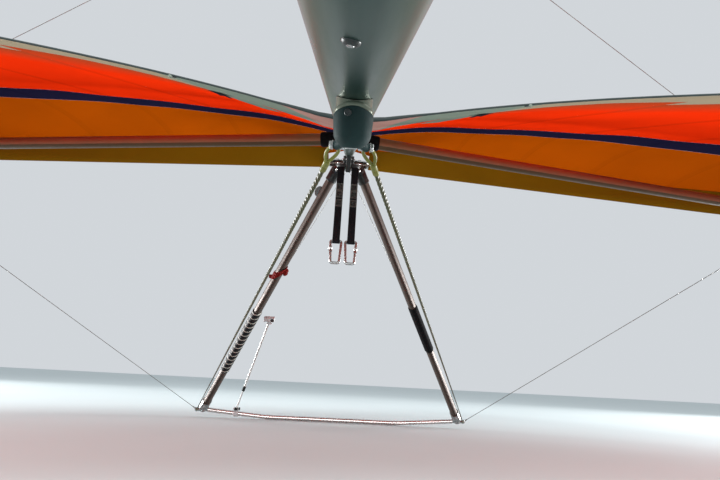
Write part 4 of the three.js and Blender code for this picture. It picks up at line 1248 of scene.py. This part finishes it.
CASE_DEEP, CASE_LOW = 16.0, POLE_TOP.z + 4.4
CASE_TOP = CASE_LOW + 24
case = block(about(POLE_TOP.x, 31), about(POLE_TOP.y, CASE_DEEP), (CASE_LOW, CASE_TOP), 6, 6)
eye_at = vec(POLE_TOP.x + 18, POLE_TOP.y - CASE_DEEP, CASE_LOW + 12)
trim = lathe([(9.5, -0.3), (9.5, 1.4), (8.4, 2), (7.2, 2), (6.8, 0.8), (0.01, 0.8)],
             eye_at, eye_at - AHEAD, 36)
button_at = vec(POLE_TOP.x - 18, POLE_TOP.y, CASE_TOP)
trim += lathe([(4, 0), (4, 1), (3.4, 1.4), (0.01, 1.4)], button_at, button_at + UP, 28)
glass = lathe([(6.6, 0.9), (5, 1.5), (2.6, 1.9), (0.01, 2.0)], eye_at, eye_at - AHEAD, 32)
piece("action_camera_case", case, "case", "action_camera", "camera_pole", bevel=2.0)
piece("action_camera_bezel", trim, "dark_steel", body="camera_pole", slot="black_plastic")
piece("action_camera_glass", glass, "lens", body="camera_pole")

# Thin trim on the cloth: batten ends along the trailing edge, each with its cord
tips, cords = Shape(), Shape()
for k in range(13):
    x = FIRST_BATTEN + BATTEN_PITCH * k
    edge = cloth_point(x, 1.0)
    way = (edge - cloth_point(x, 0.985)).normalized()
    start = edge - way * 20 - UP * 2.2
    tips += lathe([(2.2, 0), (2.5, 1), (2.5, 17), (3.0, 18), (3.0, 23), (2.2, 24.5), (0.01, 24.8)],
                  start, start + way, 20)
    cord = [start + RIGHT * (4.5 * cos(a)) + way * (10 + 9 * sin(a)) for a in around(20)]
    cords += sweep(cord, circle(0.9, 8), closed=True, up=UP)
pair("batten_ends", tips, "tip_white")
pair("batten_end_cords", cords, "webbing")


# A dark sheet at the first batten, its front end curling down: a painted shadow where the hem is in
# shade
def shadow_tab_row(i):
    x, curl = 352 + 4 * i, 1 + 0.4 * sin(i * 0.8)
    return [cloth_point(x, 1 - (330 + 120 * t) / chord_at(x)) - UP * (1.5 + 3.5 * t * t * curl)
            for t in [j / 14 for j in range(15)]]


for side, obj in pair("first_batten_painted_shadow", grid([shadow_tab_row(i) for i in range(9)]), "dark_cloth",
                      sharp=60):
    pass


# A red strap knotted round the left downtube, and a small tab above it
def strap_ring(distance, lean, grow):
    """A turn round the tube, leaning by lean from side to side."""
    return [along(distance + lean * x / TUBE_THICK, x, y)
            for x, y in oval(TUBE_THICK + grow, TUBE_CHORD + grow, 56)]


outward, down = TUBE_TURN @ -RIGHT, TUBE_TURN @ UP
red_strap = joined(grid([strap_ring(first + d, lean, grow) for d, grow in (
    (0, 0.6), (0.6, 7), (3, 10), (18, 10), (20.4, 7), (21, 0.6))], closed=True)
    for first, lean in ((585, -50), (604, -56)))
knot_at = along(584, TUBE_THICK / 2 + 8, -8)
red_strap += sweep([knot_at + down * d for d in (-19, -13, 13, 19)], oval(21, 24, 28), up=AHEAD,
                   scale=lambda t: 0.6 if t in (0, 1) else 1.0)
knot_turn = [knot_at + TUBE_TURN @ vec(11.6 * cos(a), 12.6 * sin(a), 6 * cos(a))
             for a in around(32)]
red_strap += sweep(knot_turn, oval(3, 13, 20), closed=True, up=down)
end_at = along(640, -TUBE_THICK / 2 - 1, -10)
red_strap += sweep([end_at + outward * x + down * z for x, z in ((-6, 0), (4, 3), (14, 8))],
                   oval(5, 22, 24), up=down)
piece("downtube_red_strap", red_strap.mirrored(), "red_strap")
arch = [(27 * cos(pi * (1 - k / 18)), 3 + 20 * sin(pi * k / 18))
        for k in range(19)]
tab_place = Matrix((down, outward, down.cross(outward))).transposed().to_4x4()
tab_place.translation = along(125, 2 - TUBE_THICK / 2)
tab = slab([(-27, 0)] + arch + [(27, 0)], -2, 2, tab_place)
piece("downtube_tab", tab.mirrored(), "smoke", bevel=0.6)

# Finishes for the nodes that stay as the CAD made them
SLOT_FINISH = {
    "aluminium": "tube", "steel_fittings": "steel", "wire": "cable", "black_plastic": "plastic",
    "foam_grip": "foam", "webbing": "webbing", "sail_red": "red", "sail_orange": "orange",
    "sail_navy": "navy", "sail_cream": "cream", "pocket_yellow": "yellow",
    "dark_cloth": "dark_cloth",
}
for part in frame["record"]["subparts"]:
    node = frame["nodes"][part["node"]]
    node.data.materials.clear()
    node.data.materials.append(MAT[SLOT_FINISH[part["material_slot"]]].m)
